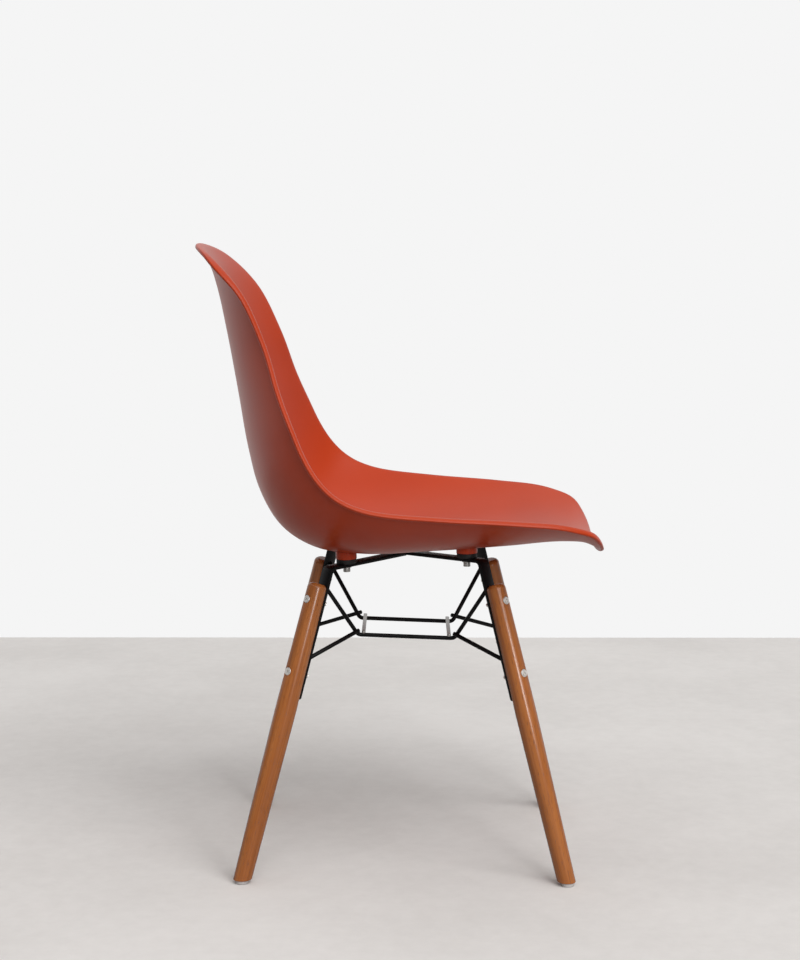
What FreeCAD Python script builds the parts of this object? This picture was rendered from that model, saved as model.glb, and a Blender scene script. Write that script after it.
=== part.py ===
import FreeCAD, Part
import math
import os

# Moulded plastic shell chair on four turned wooden legs and a black steel frame.
# Millimetres, +Z up. The origin is on the floor under the middle of the chair.
# The sitter faces -Y and the sitter's left-hand side is +X.

V = FreeCAD.Vector

# Shell: the inner face, front edge to top edge.
# Each station is a share of the way along the seat, with its place in millimetres.
SPINE = [  # share, y, z of the middle line
    (0.000, -265.1, 432.0),
    (0.030, -248.1, 438.5),
    (0.060, -225.1, 439.5),
    (0.160, -145.1, 432.5),
    (0.280, -46.1, 425.0),
    (0.400, 52.9, 420.5),
    (0.470, 108.9, 428.0),
    (0.540, 156.4, 458.0),
    (0.600, 183.4, 505.0),
    (0.652, 195.7, 550.0),
    (0.750, 210.7, 631.0),
    (0.850, 226.1, 712.0),
    (0.930, 239.9, 776.0),
    (0.965, 247.4, 801.0),
    (1.000, 257.9, 820.0),
]
RIM = [  # share, half width, y, z of the side rim
    (0.000, 190.0, -271.1, 461.5),
    (0.030, 198.0, -254.1, 474.5),
    (0.060, 202.0, -228.1, 479.5),
    (0.160, 208.0, -149.1, 483.5),
    (0.280, 218.0, -49.1, 488.0),
    (0.400, 228.0, 38.9, 498.0),
    (0.470, 231.0, 72.9, 512.0),
    (0.540, 229.0, 98.9, 536.0),
    (0.600, 221.0, 116.9, 565.0),
    (0.652, 211.0, 129.9, 594.0),
    (0.750, 188.0, 149.9, 643.0),
    (0.850, 163.0, 169.9, 706.0),
    (0.930, 156.0, 193.9, 764.0),
    (1.000, 156.0, 221.9, 803.0),
]
DISHING = [  # share, power of the cross-section: 2 is a round dish, more is flatter with steeper sides
    (0.00, 2.4),
    (0.06, 2.5),
    (0.28, 2.8),
    (0.47, 2.7),
    (0.60, 2.4),
    (0.75, 2.2),
    (0.93, 2.2),
    (1.00, 2.4),
]
CORNER_POWER = 7.0
WALL = 5.0
EDGE_THICKNESS = 4.5

# Rolled lip round the rim: turn in degrees, roll radius, straight reach after the roll
SIDE_LIP = (88.0, 7.0, 2.5)
TOP_LIP = (38.0, 14.0, 6.0)
FRONT_LIP = (48.0, 10.0, 3.0)
LIP_BLEND_START = 0.80
TOP_LIP_FADE = 0.30
FRONT_LIP_FADE = 0.25

# How finely the shell's control net is laid out
NET_AROUND = 56
NET_CROWDING = 0.16
NET_RINGS = [0.05, 0.12, 0.21, 0.32, 0.44, 0.56, 0.68, 0.79, 0.89, 0.96]
LIP_STEPS = 4

# Base layout
BASE_Y = -13.3
SPLAY = 41.0
FOOT_RADIUS = 282.0
LEG_LEAN = 18.3

# Legs
LEG_D = 28.2
FOOT_D = 23.7
LEG_TOP_D = 25.4
LEG_TOP_Z = 383.0
LEG_BELLY_Z = 218.0
LEG_TOP_ROUND = 6.5
FOOT_ROUND = 1.2
PLATE_SEAT = 9.0

# Crossed flat bars
BAR_T = 4.5
BAR_W = 19.0
BAR_CENTRE_Z = 409.4
BEND_DROP = 2.4
FRAME_SLOPE = 0.053
BAR_END_Z = 233.0
BEND_INNER_ROUND = 5.0
BAR_CORNER = 3.0

# Seat fixings
SEAT_FIX_INSET = 29.1
BOSS_D = 28.0
SPACER_D = 27.0
SPACER_T = 6.2
SCREW_D = 6.0
SCREW_CLEARANCE = 0.3
SCREW_HEAD_D = 9.5
SCREW_HEAD_H = 6.0
HEX_KEY = 5.0
HEX_KEY_DEPTH = 3.0
WASHER_D = 13.0
WASHER_T = 1.5
INSERT_D = 8.5
INSERT_L = 8.0
INSERT_END_GAP = 0.7
RUNNING_GAP = 0.1

# Leg bolts
BOLT_Z = (360.5, 267.3)
BOLT_D = 5.0
BOLT_HEAD_D = 10.8
BOLT_HEAD_H = 3.2
BOLT_KEY = 3.2
COUNTERBORE_GAP = 0.4
HEAD_SINK = 0.2
NUT_FLATS = 8.0
NUT_H = 4.0
NUT_WASHER_D = 10.0
NUT_WASHER_T = 1.0
BOLT_END = 3.0

# Wire bracing
ROD_D = 5.6
BRACE_TOP_Z = 379.5
BRACE_REACH_X = 35.9
BRACE_REACH_Y = 44.2
BRACE_BACK_Z = 306.0
BRACE_FRONT_Z = 301.9
BRACE_BEND = 8.0
STRUT_END_Z = 282.1
STRUT_PASS = 0.4
LINK_W = 5.0
LINK_T = 3.0
LINK_OVERHANG = 3.0
LINK_INSET = 7.5
ROD_GAP = 0.05

# Glides
GLIDE_D = 17.0
GLIDE_H = 5.0
GLIDE_CHAMFER = 1.2
PIN_D = 3.0
PIN_L = 16.0
PIN_HEAD_D = 8.0
PIN_HEAD_H = 1.2
PIN_RECESS = 1.5

SIDES = (("left", 1), ("right", -1))
ENDS = (("back", 1), ("front", -1))

LEAN = math.tan(math.radians(LEG_LEAN))
LEAN_COS = math.cos(math.radians(LEG_LEAN))
LEAN_SIN = math.sin(math.radians(LEG_LEAN))
PLATE_MID = PLATE_SEAT + BAR_T / 2


def save(shape, node):
    """Write one node and report it."""
    shape.exportStep("parts/%s.step" % node)
    print("%-20s solids %d valid %s volume %.1f" % (node, len(shape.Solids), shape.isValid(), shape.Volume))


def along_table(table, share):
    """Smooth curve through a table of stations, by cubic pieces with a common slope at each station."""
    last = len(table) - 1
    index = 0
    while index < last - 1 and share >= table[index + 1][0]:
        index += 1
    start, end = table[index], table[index + 1]
    step = end[0] - start[0]
    u = (share - start[0]) / step

    def gap_slope(k, column):
        return (table[k + 1][column] - table[k][column]) / (table[k + 1][0] - table[k][0])

    def slope(k, column):
        if k == 0:
            return gap_slope(0, column)
        if k == last:
            return gap_slope(last - 1, column)
        before = table[k][0] - table[k - 1][0]
        after = table[k + 1][0] - table[k][0]
        return (gap_slope(k - 1, column) * after + gap_slope(k, column) * before) / (before + after)

    values = []
    for column in range(1, len(start)):
        value = (2 * u**3 - 3 * u**2 + 1) * start[column] + (3 * u**2 - 2 * u**3) * end[column]
        value += (u**3 - 2 * u**2 + u) * slope(index, column) * step
        value += (u**3 - u**2) * slope(index + 1, column) * step
        values.append(value)
    return values


def sheet_point(share, across):
    """Point of the shell's inner face: share runs front to top, across runs -1 to 1 between the side rims."""
    spine_y, spine_z = along_table(SPINE, share)
    half_width, rim_y, rim_z = along_table(RIM, share)
    rise = abs(across) ** along_table(DISHING, share)[0]
    return V(half_width * across, spine_y + (rim_y - spine_y) * rise, spine_z + (rim_z - spine_z) * rise)


def outline_place(turn):
    """Rounded-rectangle outline of the shell on the sheet, as (across, along), each -1 to 1."""
    c, s = math.cos(turn), math.sin(turn)
    reach = (abs(c) ** CORNER_POWER + abs(s) ** CORNER_POWER) ** (-1 / CORNER_POWER)
    return c * reach, s * reach


def shell_point(ring, turn):
    """Point of the inner face at a ring (0 centre, 1 rim) and a turn round the outline."""
    across, along = outline_place(turn)
    return sheet_point(0.5 + 0.5 * ring * along, ring * across)


def shell_normal(ring, turn):
    """Unit normal of the inner face, pointing to the sitter."""
    step = 1e-3
    across, along = outline_place(turn)
    share, across = 0.5 + 0.5 * ring * along, ring * across
    low, high = max(share - step, 0.0), min(share + step, 1.0)
    lengthwise = sheet_point(high, across) - sheet_point(low, across)
    crosswise = sheet_point(share, across + step) - sheet_point(share, across - step)
    return crosswise.cross(lengthwise).normalize()


def smooth_step(value):
    """Ease from 0 to 1."""
    value = min(max(value, 0.0), 1.0)
    return value * value * (3 - 2 * value)


def lip_sizes(turn):
    """Turn (radians), roll radius and reach of the lip: the sides, blended into the top and the front."""
    across, along = outline_place(turn)
    top = smooth_step((along - LIP_BLEND_START) / (1 - LIP_BLEND_START))
    top *= smooth_step((1 - abs(across)) / TOP_LIP_FADE)
    front = smooth_step((-along - LIP_BLEND_START) / (1 - LIP_BLEND_START))
    front *= smooth_step((1 - abs(across)) / FRONT_LIP_FADE)
    angle, radius, reach = (s + (t - s) * top + (f - s) * front for s, t, f in zip(SIDE_LIP, TOP_LIP, FRONT_LIP))
    return math.radians(angle), radius, reach


def shell_section(turn):
    """One section of the shell from its middle over the inner face, round the lip and back underneath."""
    step = 1e-3
    rim = shell_point(1.0, turn)
    normal = shell_normal(1.0, turn)
    round_rim = (shell_point(1.0, turn + step) - shell_point(1.0, turn - step)).normalize()
    outward = round_rim.cross(normal)
    if outward.dot(rim - shell_point(1.0 - step, turn)) < 0:
        outward = -outward
    angle, radius, reach = lip_sizes(turn)
    top_side = [shell_point(ring, turn) for ring in NET_RINGS] + [rim]
    under_side = [shell_point(ring, turn) - shell_normal(ring, turn) * WALL for ring in NET_RINGS]
    under_side.append(rim - normal * EDGE_THICKNESS)
    for k in range(1, LIP_STEPS + 1):
        a = angle * k / LIP_STEPS
        point = rim + outward * (radius * math.sin(a)) - normal * (radius * (1 - math.cos(a)))
        facing = outward * math.sin(a) + normal * math.cos(a)
        top_side.append(point)
        under_side.append(point - facing * EDGE_THICKNESS)
    run = outward * math.cos(angle) - normal * math.sin(angle)
    facing = outward * math.sin(angle) + normal * math.cos(angle)
    edge = top_side[-1] + run * reach
    nose = [edge, edge + run * (EDGE_THICKNESS / 3) - facing * (EDGE_THICKNESS / 2), edge - facing * EDGE_THICKNESS]
    return top_side + nose + under_side[::-1]


def shell_body():
    """Close the sections into one smooth surface and make it solid."""
    turns = [2 * math.pi * k / NET_AROUND for k in range(NET_AROUND)]
    turns = [t + NET_CROWDING * math.sin(4 * t) for t in turns]
    middle = shell_point(0.0, 0.0)
    under_middle = middle - shell_normal(0.0, 0.0) * WALL
    net = [[middle] + shell_section(t) + [under_middle] for t in turns]
    rows = len(net[0])
    surface = Part.BSplineSurface()
    around_knots = list(range(NET_AROUND + 1))
    row_knots = list(range(rows - 2))
    row_mults = [4] + [1] * (rows - 4) + [4]
    surface.buildFromPolesMultsKnots(
        net, [1] * (NET_AROUND + 1), row_mults, around_knots, row_knots, True, False, 3, 3)
    solid = Part.Solid(Part.Shell([surface.toShape()]))
    if solid.Volume < 0:
        solid.reverse()
    return solid


def corner_direction(side, end):
    """Plan direction from the middle of the base to one leg."""
    return V(side * math.sin(math.radians(SPLAY)), end * math.cos(math.radians(SPLAY)), 0)


def base_point(side, end, radius, z):
    """Point on the vertical plane through one leg."""
    return V(0, BASE_Y, z) + corner_direction(side, end) * radius


def leg_radius(z):
    """Distance of a leg's axis from the middle of the base at a height."""
    return FOOT_RADIUS - LEAN * z


def leg_up(side, end):
    """Unit vector up a leg's axis."""
    return (V(0, 0, 1) * LEAN_COS - corner_direction(side, end) * LEAN_SIN).normalize()


def leg_out(side, end):
    """Unit vector square to a leg, pointing away from the chair."""
    return (corner_direction(side, end) * LEAN_COS + V(0, 0, 1) * LEAN_SIN).normalize()


def leg_axis_point(side, end, z):
    """Point on a leg's axis at a height."""
    return base_point(side, end, leg_radius(z), z)


def plate_line(z):
    """Distance from the middle of the base to the middle of a bar's leg plate at a height."""
    return leg_radius(z + PLATE_MID * LEAN_SIN) - PLATE_MID * LEAN_COS


def bend_run():
    """Distance from the middle of the base to the bends of the bars."""
    return plate_line(BAR_CENTRE_Z - BEND_DROP)


def bend_height(end):
    """Height of the bar's middle at the bend over a back or front leg."""
    return BAR_CENTRE_Z - BEND_DROP - FRAME_SLOPE * end * bend_run() * math.cos(math.radians(SPLAY))


def bar_slope(end):
    """Rise of the bar's middle per millimetre outwards, towards a back or front leg."""
    height = bend_height(end)
    return (height - BAR_CENTRE_Z) / plate_line(height)


def bar_up(side, end):
    """Unit normal of the bar's upper face over a back or front leg."""
    return (V(0, 0, 1) - corner_direction(side, end) * bar_slope(end)).normalize()


def seat_fix_point(side, end):
    """Middle of the bar under one seat boss."""
    run = bend_run() - SEAT_FIX_INSET
    return base_point(side, end, run, BAR_CENTRE_Z + bar_slope(end) * run)


def offset_lines(points, distance):
    """Shift a chain of straight runs sideways and join the shifted runs at their crossings."""
    shifted = []
    for (x0, z0), (x1, z1) in zip(points, points[1:]):
        length = math.hypot(x1 - x0, z1 - z0)
        nx, nz = -(z1 - z0) / length, (x1 - x0) / length
        shifted.append(((x0 + nx * distance, z0 + nz * distance), (x1 + nx * distance, z1 + nz * distance)))
    corners = [shifted[0][0]]
    for (a, b), (c, d) in zip(shifted, shifted[1:]):
        ux, uz, wx, wz = b[0] - a[0], b[1] - a[1], d[0] - c[0], d[1] - c[1]
        t = ((c[0] - a[0]) * wz - (c[1] - a[1]) * wx) / (ux * wz - uz * wx)
        corners.append((a[0] + ux * t, a[1] + uz * t))
    corners.append(shifted[-1][1])
    return corners


def cross_bar(side):
    """Bar from a back leg over the middle to the opposite front leg, before its crossing is halved."""
    direction = corner_direction(side, 1)
    chain = []
    for end in (-1, 1):
        height = bend_height(end)
        pair = [(end * plate_line(BAR_END_Z), BAR_END_Z), (end * plate_line(height), height)]
        chain += pair if end < 0 else [(0.0, BAR_CENTRE_Z)] + pair[::-1]
    upper, lower = offset_lines(chain, BAR_T / 2), offset_lines(chain, -BAR_T / 2)
    across = direction.cross(V(0, 0, 1))
    start = V(0, BASE_Y, 0) - across * (BAR_W / 2)
    corners = [start + direction * r + V(0, 0, z) for r, z in upper + lower[::-1]]
    bar = Part.Face(Part.makePolygon(corners + corners[:1])).extrude(across * BAR_W)

    def edges_at(places):
        found = []
        for r, z in places:
            target = V(0, BASE_Y, 0) + direction * r + V(0, 0, z)
            found += [e for e in bar.Edges if (e.CenterOfMass - target).Length < 0.5]
        return found

    bar = bar.makeFillet(BEND_INNER_ROUND + BAR_T, edges_at([upper[1], upper[-2]]))
    bar = bar.makeFillet(BEND_INNER_ROUND, edges_at([lower[1], lower[-2]]))
    tips = [e for e in bar.Edges if e.Length < BAR_T + 0.1 and e.CenterOfMass.z < BAR_END_Z + BAR_T]
    return bar.makeFillet(BAR_CORNER, tips)


def fixing_holes():
    """Clearance holes through the bars for the seat screws and the leg bolts."""
    holes = []
    for _, side in SIDES:
        for _, end in ENDS:
            up = bar_up(side, end)
            point = seat_fix_point(side, end)
            holes.append(Part.makeCylinder(SCREW_D / 2 + SCREW_CLEARANCE, 2 * BAR_T, point - up * BAR_T, up))
            for z in BOLT_Z:
                out = leg_out(side, end)
                start = leg_axis_point(side, end, z) - out * (PLATE_MID + BAR_T)
                holes.append(Part.makeCylinder(BOLT_D / 2 + SCREW_CLEARANCE, 2 * BAR_T, start, out))
    return holes


def cross_bars():
    """Both bars, halved into each other at the crossing."""
    reach = 2 * BAR_W
    bars = [cross_bar(1), cross_bar(-1)]
    halved = []
    for bar, other_side, level in ((bars[0], -1, 0.0), (bars[1], 1, -reach)):
        direction = corner_direction(other_side, 1)
        across = direction.cross(V(0, 0, 1))
        corner = V(0, BASE_Y, BAR_CENTRE_Z + level) - direction * reach - across * (BAR_W / 2)
        outline = [corner, corner + direction * (2 * reach), corner + direction * (2 * reach) + across * BAR_W,
                   corner + across * BAR_W, corner]
        notch = Part.Face(Part.makePolygon(outline)).extrude(V(0, 0, reach))
        halved.append(bar.cut(notch).cut(fixing_holes()))
    return halved


def leg_thickness(z):
    """Diameter of a leg where its axis is at a height."""
    if z < LEG_BELLY_Z:
        return FOOT_D + (LEG_D - FOOT_D) * max(z, 0) / LEG_BELLY_Z
    return LEG_D + (LEG_TOP_D - LEG_D) * (z - LEG_BELLY_Z) / (LEG_TOP_Z - LEG_BELLY_Z)


def head_seat(z):
    """Distance from a leg's axis to the underside of a bolt's head."""
    return leg_thickness(z) / 2 - BOLT_HEAD_H - HEAD_SINK


def round_leg(side, end):
    """Turned leg, thickest below the bar's plate, cut level at the foot, with a flat and bolt holes."""
    up = leg_up(side, end)
    out = leg_out(side, end)
    start = leg_axis_point(side, end, -LEG_D)
    foot_run = LEG_D / LEAN_COS
    belly_run = foot_run + LEG_BELLY_Z / LEAN_COS
    top_run = foot_run + LEG_TOP_Z / LEAN_COS
    profile = [V(0, 0, 0), V(FOOT_D / 2, 0, 0), V(FOOT_D / 2, 0, foot_run), V(LEG_D / 2, 0, belly_run),
               V(LEG_TOP_D / 2, 0, top_run), V(0, 0, top_run), V(0, 0, 0)]
    leg = Part.Face(Part.makePolygon(profile)).revolve(V(0, 0, 0), V(0, 0, 1), 360)
    rim = [e for e in leg.Edges if abs(e.CenterOfMass.z - top_run) < 0.01 and e.Closed]
    leg = leg.makeFillet(LEG_TOP_ROUND, rim)
    placement = FreeCAD.Placement(start, FreeCAD.Rotation(V(0, 0, 1), up))
    leg = leg.transformed(placement.toMatrix())
    block = Part.makeBox(4 * LEG_D, 4 * LEG_D, 4 * LEG_D)
    block.translate(leg_axis_point(side, end, GLIDE_H) - V(2 * LEG_D, 2 * LEG_D, 4 * LEG_D))
    leg = leg.cut(block)
    sole = [e for e in leg.Edges if abs(e.CenterOfMass.z - GLIDE_H) < 0.01]
    leg = leg.makeFillet(FOOT_ROUND, sole)
    return leg.cut(leg_cuts(side, end, up, out))


def leg_cuts(side, end, up, out):
    """Flat for the bar, bolt holes with counterbores, and the hole for the glide's pin."""
    across = out.cross(up)
    flat_low = leg_axis_point(side, end, BAR_END_Z + PLATE_MID * LEAN_SIN) - up * BAR_T
    corner = flat_low - out * (LEG_D + PLATE_SEAT) - across * LEG_D
    length = (LEG_TOP_Z - BAR_END_Z) / LEAN_COS + LEG_D
    outline = [corner, corner + out * LEG_D, corner + out * LEG_D + across * (2 * LEG_D),
               corner + across * (2 * LEG_D), corner]
    cuts = [Part.Face(Part.makePolygon(outline)).extrude(up * length)]
    for z in BOLT_Z:
        middle = leg_axis_point(side, end, z)
        cuts.append(Part.makeCylinder(BOLT_D / 2 + SCREW_CLEARANCE, 2 * LEG_D, middle - out * LEG_D, out))
        cuts.append(Part.makeCylinder(BOLT_HEAD_D / 2 + COUNTERBORE_GAP, LEG_D, middle + out * head_seat(z), out))
    pin_foot = leg_axis_point(side, end, GLIDE_H) - up * LEG_D
    cuts.append(Part.makeCylinder(PIN_D / 2 + RUNNING_GAP, LEG_D + PIN_L, pin_foot, up))
    return cuts


def glide(side, end):
    """Round plastic glide with a recess underneath that hides its pin's head."""
    foot = leg_axis_point(side, end, 0)
    disc = Part.makeCylinder(GLIDE_D / 2, GLIDE_H, foot)
    lower = [e for e in disc.Edges if abs(e.CenterOfMass.z) < 0.01 and e.Closed]
    disc = disc.makeChamfer(GLIDE_CHAMFER, lower)
    recess = Part.makeCylinder(PIN_HEAD_D / 2 + RUNNING_GAP, PIN_RECESS + PIN_HEAD_H, foot)
    up = leg_up(side, end)
    hole = Part.makeCylinder(PIN_D / 2 + RUNNING_GAP, 4 * GLIDE_H, leg_axis_point(side, end, -GLIDE_H), up)
    return disc.cut([recess, hole])


def glide_pin(side, end):
    """Headed pin that holds a glide to its leg."""
    up = leg_up(side, end)
    shank = Part.makeCylinder(PIN_D / 2, PIN_L, leg_axis_point(side, end, PIN_RECESS), up)
    head = Part.makeCylinder(PIN_HEAD_D / 2, PIN_HEAD_H, leg_axis_point(side, end, 0) + V(0, 0, PIN_RECESS))
    keep = Part.makeBox(LEG_D, LEG_D, 2 * PIN_L)
    keep.translate(leg_axis_point(side, end, 0) + V(-LEG_D / 2, -LEG_D / 2, PIN_RECESS))
    return shank.common(keep).fuse(head).removeSplitter()


def hex_prism(flats, height, base, axis):
    """Hexagonal prism standing on a base point along an axis."""
    radius = flats / math.sqrt(3)
    corners = [V(radius * math.cos(math.radians(60 * k)), radius * math.sin(math.radians(60 * k)), 0)
               for k in range(7)]
    prism = Part.Face(Part.makePolygon(corners)).extrude(V(0, 0, height))
    prism.Placement = FreeCAD.Placement(base, FreeCAD.Rotation(V(0, 0, 1), axis))
    return prism


def ring(outer_d, inner_d, height, base, axis):
    """Flat ring such as a washer."""
    disc = Part.makeCylinder(outer_d / 2, height, base, axis)
    return disc.cut(Part.makeCylinder(inner_d / 2, 3 * height, base - axis * height, axis))


def leg_bolt(side, end, z):
    """Socket-headed bolt from outside the leg through the bar."""
    out = leg_out(side, end)
    seat = leg_axis_point(side, end, z) + out * head_seat(z)
    head = Part.makeCylinder(BOLT_HEAD_D / 2, BOLT_HEAD_H, seat, out)
    length = head_seat(z) + PLATE_MID + BAR_T / 2 + NUT_WASHER_T + NUT_H + BOLT_END
    shank = Part.makeCylinder(BOLT_D / 2, length, seat, -out)
    key = hex_prism(BOLT_KEY, BOLT_HEAD_H, seat + out * (BOLT_HEAD_H / 3), out)
    return head.fuse(shank).cut(key).removeSplitter()


def nut_face(side, end, z):
    """Point on the bar's inner face on a bolt's axis."""
    return leg_axis_point(side, end, z) - leg_out(side, end) * (PLATE_MID + BAR_T / 2)


def leg_nut(side, end, z):
    """Hexagonal nut on the inside of the bar, on its washer."""
    inward = -leg_out(side, end)
    base = nut_face(side, end, z) + inward * NUT_WASHER_T
    bore = Part.makeCylinder(BOLT_D / 2 + RUNNING_GAP, 3 * NUT_H, base - inward * NUT_H, inward)
    return hex_prism(NUT_FLATS, NUT_H, base, inward).cut(bore)


def seat_fixing(side, end):
    """Boss blank, insert hole, insert, spacer, washer and screw of one seat fixing, in that order."""
    up = bar_up(side, end)
    top = seat_fix_point(side, end) + up * (BAR_T / 2)
    under = seat_fix_point(side, end) - up * (BAR_T / 2)
    boss_face = top + up * SPACER_T
    hole_d = SCREW_D + 2 * SCREW_CLEARANCE
    boss = Part.makeCylinder(BOSS_D / 2, 2 * BOSS_D, boss_face, up)
    pocket = Part.makeCylinder(INSERT_D / 2, INSERT_L + INSERT_END_GAP, boss_face, up)
    insert = ring(INSERT_D, SCREW_D + 2 * RUNNING_GAP, INSERT_L, boss_face, up)
    spacer = ring(SPACER_D, hole_d, SPACER_T, top, up)
    washer = ring(WASHER_D, hole_d, WASHER_T, under - up * WASHER_T, up)
    seat = under - up * WASHER_T
    head = Part.makeCylinder(SCREW_HEAD_D / 2, SCREW_HEAD_H, seat - up * SCREW_HEAD_H, up)
    shank = Part.makeCylinder(SCREW_D / 2, WASHER_T + BAR_T + SPACER_T + INSERT_L - RUNNING_GAP, seat, up)
    key = hex_prism(HEX_KEY, HEX_KEY_DEPTH, seat - up * SCREW_HEAD_H, up)
    screw = head.fuse(shank).cut(key).removeSplitter()
    return boss, pocket, insert, spacer, washer, screw


def lowest_solid(shape):
    """The solid of a shape whose centre is lowest."""
    return min(shape.Solids, key=lambda s: s.CenterOfMass.z)


def bent_rod(points, bends):
    """Round rod along straight runs joined by tangent arcs."""
    edges = []
    start = points[0]
    for before, corner, after, radius in zip(points, points[1:], points[2:], bends):
        inward, outward = (before - corner).normalize(), (after - corner).normalize()
        half = inward.getAngle(outward) / 2
        setback = radius / math.tan(half)
        a, b = corner + inward * setback, corner + outward * setback
        bisector = (inward + outward).normalize()
        middle = corner + bisector * (radius / math.sin(half) - radius)
        edges.append(Part.LineSegment(start, a).toShape())
        edges.append(Part.Arc(a, middle, b).toShape())
        start = b
    edges.append(Part.LineSegment(start, points[-1]).toShape())
    path = Part.Wire(edges)
    direction = (points[1] - points[0]).normalize()
    section = Part.Wire(Part.makeCircle(ROD_D / 2, points[0], direction))
    return path.makePipeShell([section], True, False)


def plate_inside(side, end, z):
    """Point in the middle of a bar's leg plate at a height, where a rod is welded."""
    return base_point(side, end, plate_line(z), z)


def brace_corner(side, end):
    """Bend of a brace rod, a set distance in from its upper end on the plate."""
    top = plate_inside(side, end, BRACE_TOP_Z)
    height = BRACE_BACK_Z if end > 0 else BRACE_FRONT_Z
    return V(top.x - side * BRACE_REACH_X, top.y - end * BRACE_REACH_Y, height)


def brace_rod(side, bars):
    """Long rod of one side: top of the back plate, two bends, top of the front plate."""
    points = [plate_inside(side, 1, BRACE_TOP_Z), brace_corner(side, 1), brace_corner(side, -1),
              plate_inside(side, -1, BRACE_TOP_Z)]
    return max(bent_rod(points, [BRACE_BEND, BRACE_BEND]).cut(bars).Solids, key=lambda s: s.Volume)


def link_seat(end):
    """Middle of a link's underside, the direction towards the other link, and the way up from it."""
    here, there = brace_corner(1, end), brace_corner(1, -end)
    run = (there - here).normalize()
    lift = run.cross(V(1, 0, 0)) * end
    if lift.z < 0:
        lift = -lift
    middle = V(0, here.y, here.z) + run * LINK_INSET + lift * (ROD_D / 2 + ROD_GAP)
    return middle, run, lift


def strut_end(side, end):
    """Inner end of a strut, which passes outside the brace rod's bend and lies on the link."""
    start, corner = plate_inside(side, end, STRUT_END_Z), brace_corner(side, end)
    rise = plate_inside(side, end, BRACE_TOP_Z) - corner
    beside = V(rise.y, -rise.x, 0).normalize()
    if beside.x * side < 0:
        beside = -beside
    passing = corner + beside * (ROD_D + STRUT_PASS)
    middle, _, lift = link_seat(end)
    top = middle + lift * LINK_T
    x = start.x + (passing.x - start.x) * (top.y - start.y) / (passing.y - start.y)
    z = top.z + ROD_D / 2
    for _ in range(3):
        climb = (z - start.z) / abs(top.y - start.y)
        z = top.z + ROD_D / 2 * math.sqrt(1 + climb**2) + climb * LINK_W / 2 + ROD_GAP
    return V(x, top.y, z)


def strut(side, end, bars):
    """Short straight rod from the lower part of a plate up onto the end of a link."""
    start, tip = plate_inside(side, end, STRUT_END_Z), strut_end(side, end)
    rod = Part.makeCylinder(ROD_D / 2, (tip - start).Length, start, tip - start)
    return max(rod.cut(bars).Solids, key=lambda s: s.Volume)


def brace_link(end):
    """Flat strip with round ends that lies across both brace rods and carries the ends of the struts."""
    middle, run, lift = link_seat(end)
    length = 2 * (strut_end(1, end).x + LINK_OVERHANG)
    straight = length / 2 - LINK_W / 2
    a, b = V(-straight, 0, 0), V(straight, 0, 0)
    side_shift = run * (LINK_W / 2)
    tip = V(LINK_W / 2, 0, 0)
    edges = [
        Part.LineSegment(middle + a + side_shift, middle + b + side_shift).toShape(),
        Part.Arc(middle + b + side_shift, middle + b + tip, middle + b - side_shift).toShape(),
        Part.LineSegment(middle + b - side_shift, middle + a - side_shift).toShape(),
        Part.Arc(middle + a - side_shift, middle + a - tip, middle + a + side_shift).toShape(),
    ]
    return Part.Face(Part.Wire(edges)).extrude(lift * LINK_T)


def build():
    """Make every piece and write it to its own file."""
    os.makedirs("parts", exist_ok=True)
    corners = [(side_name, side, end_name, end) for side_name, side in SIDES for end_name, end in ENDS]

    shell = shell_body()
    fixings = [seat_fixing(side, end) for _, side, _, end in corners]
    bosses = [lowest_solid(fixing[0].cut(shell)) for fixing in fixings]
    shell = shell.fuse(bosses).cut([fixing[1] for fixing in fixings])
    save(shell, "seat_shell")
    for place, node in ((2, "boss_inserts"), (3, "mount_spacers"), (4, "seat_washers"), (5, "seat_screws")):
        save(Part.makeCompound([fixing[place] for fixing in fixings]), node)

    bars = cross_bars()
    save(bars[0], "cross_bar_a")
    save(bars[1], "cross_bar_b")
    for side_name, side in SIDES:
        save(brace_rod(side, bars), "brace_rod_%s" % side_name)
    for end_name, end in ENDS:
        save(brace_link(end), "brace_link_%s" % end_name)

    for side_name, side, end_name, end in corners:
        place = "%s_%s" % (end_name, side_name)
        save(strut(side, end, bars), "strut_%s" % place)
        save(round_leg(side, end), "leg_%s" % place)
        save(glide(side, end), "glide_%s" % place)
    save(Part.makeCompound([glide_pin(side, end) for _, side, _, end in corners]), "glide_pins")

    bolts = [(side, end, z) for _, side, _, end in corners for z in BOLT_Z]
    inner_d = BOLT_D + 2 * SCREW_CLEARANCE
    washers = [ring(NUT_WASHER_D, inner_d, NUT_WASHER_T, nut_face(*b), -leg_out(b[0], b[1])) for b in bolts]
    save(Part.makeCompound([leg_bolt(*b) for b in bolts]), "leg_bolts")
    save(Part.makeCompound([leg_nut(*b) for b in bolts]), "leg_nuts")
    save(Part.makeCompound(washers), "leg_nut_washers")


build()
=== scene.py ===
"""Moulded plastic shell chair on turned wooden legs: the pieces that show, their finishes, the floor and the light.

Sizes are in metres. +Z is up, the sitter faces -Y, and the sitter's left-hand side is +X.
"""

import logging
import math
from dataclasses import dataclass
from enum import Enum
from typing import Any, Callable, Sequence

import bmesh
import bpy
from mathutils import Matrix, Vector


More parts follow.
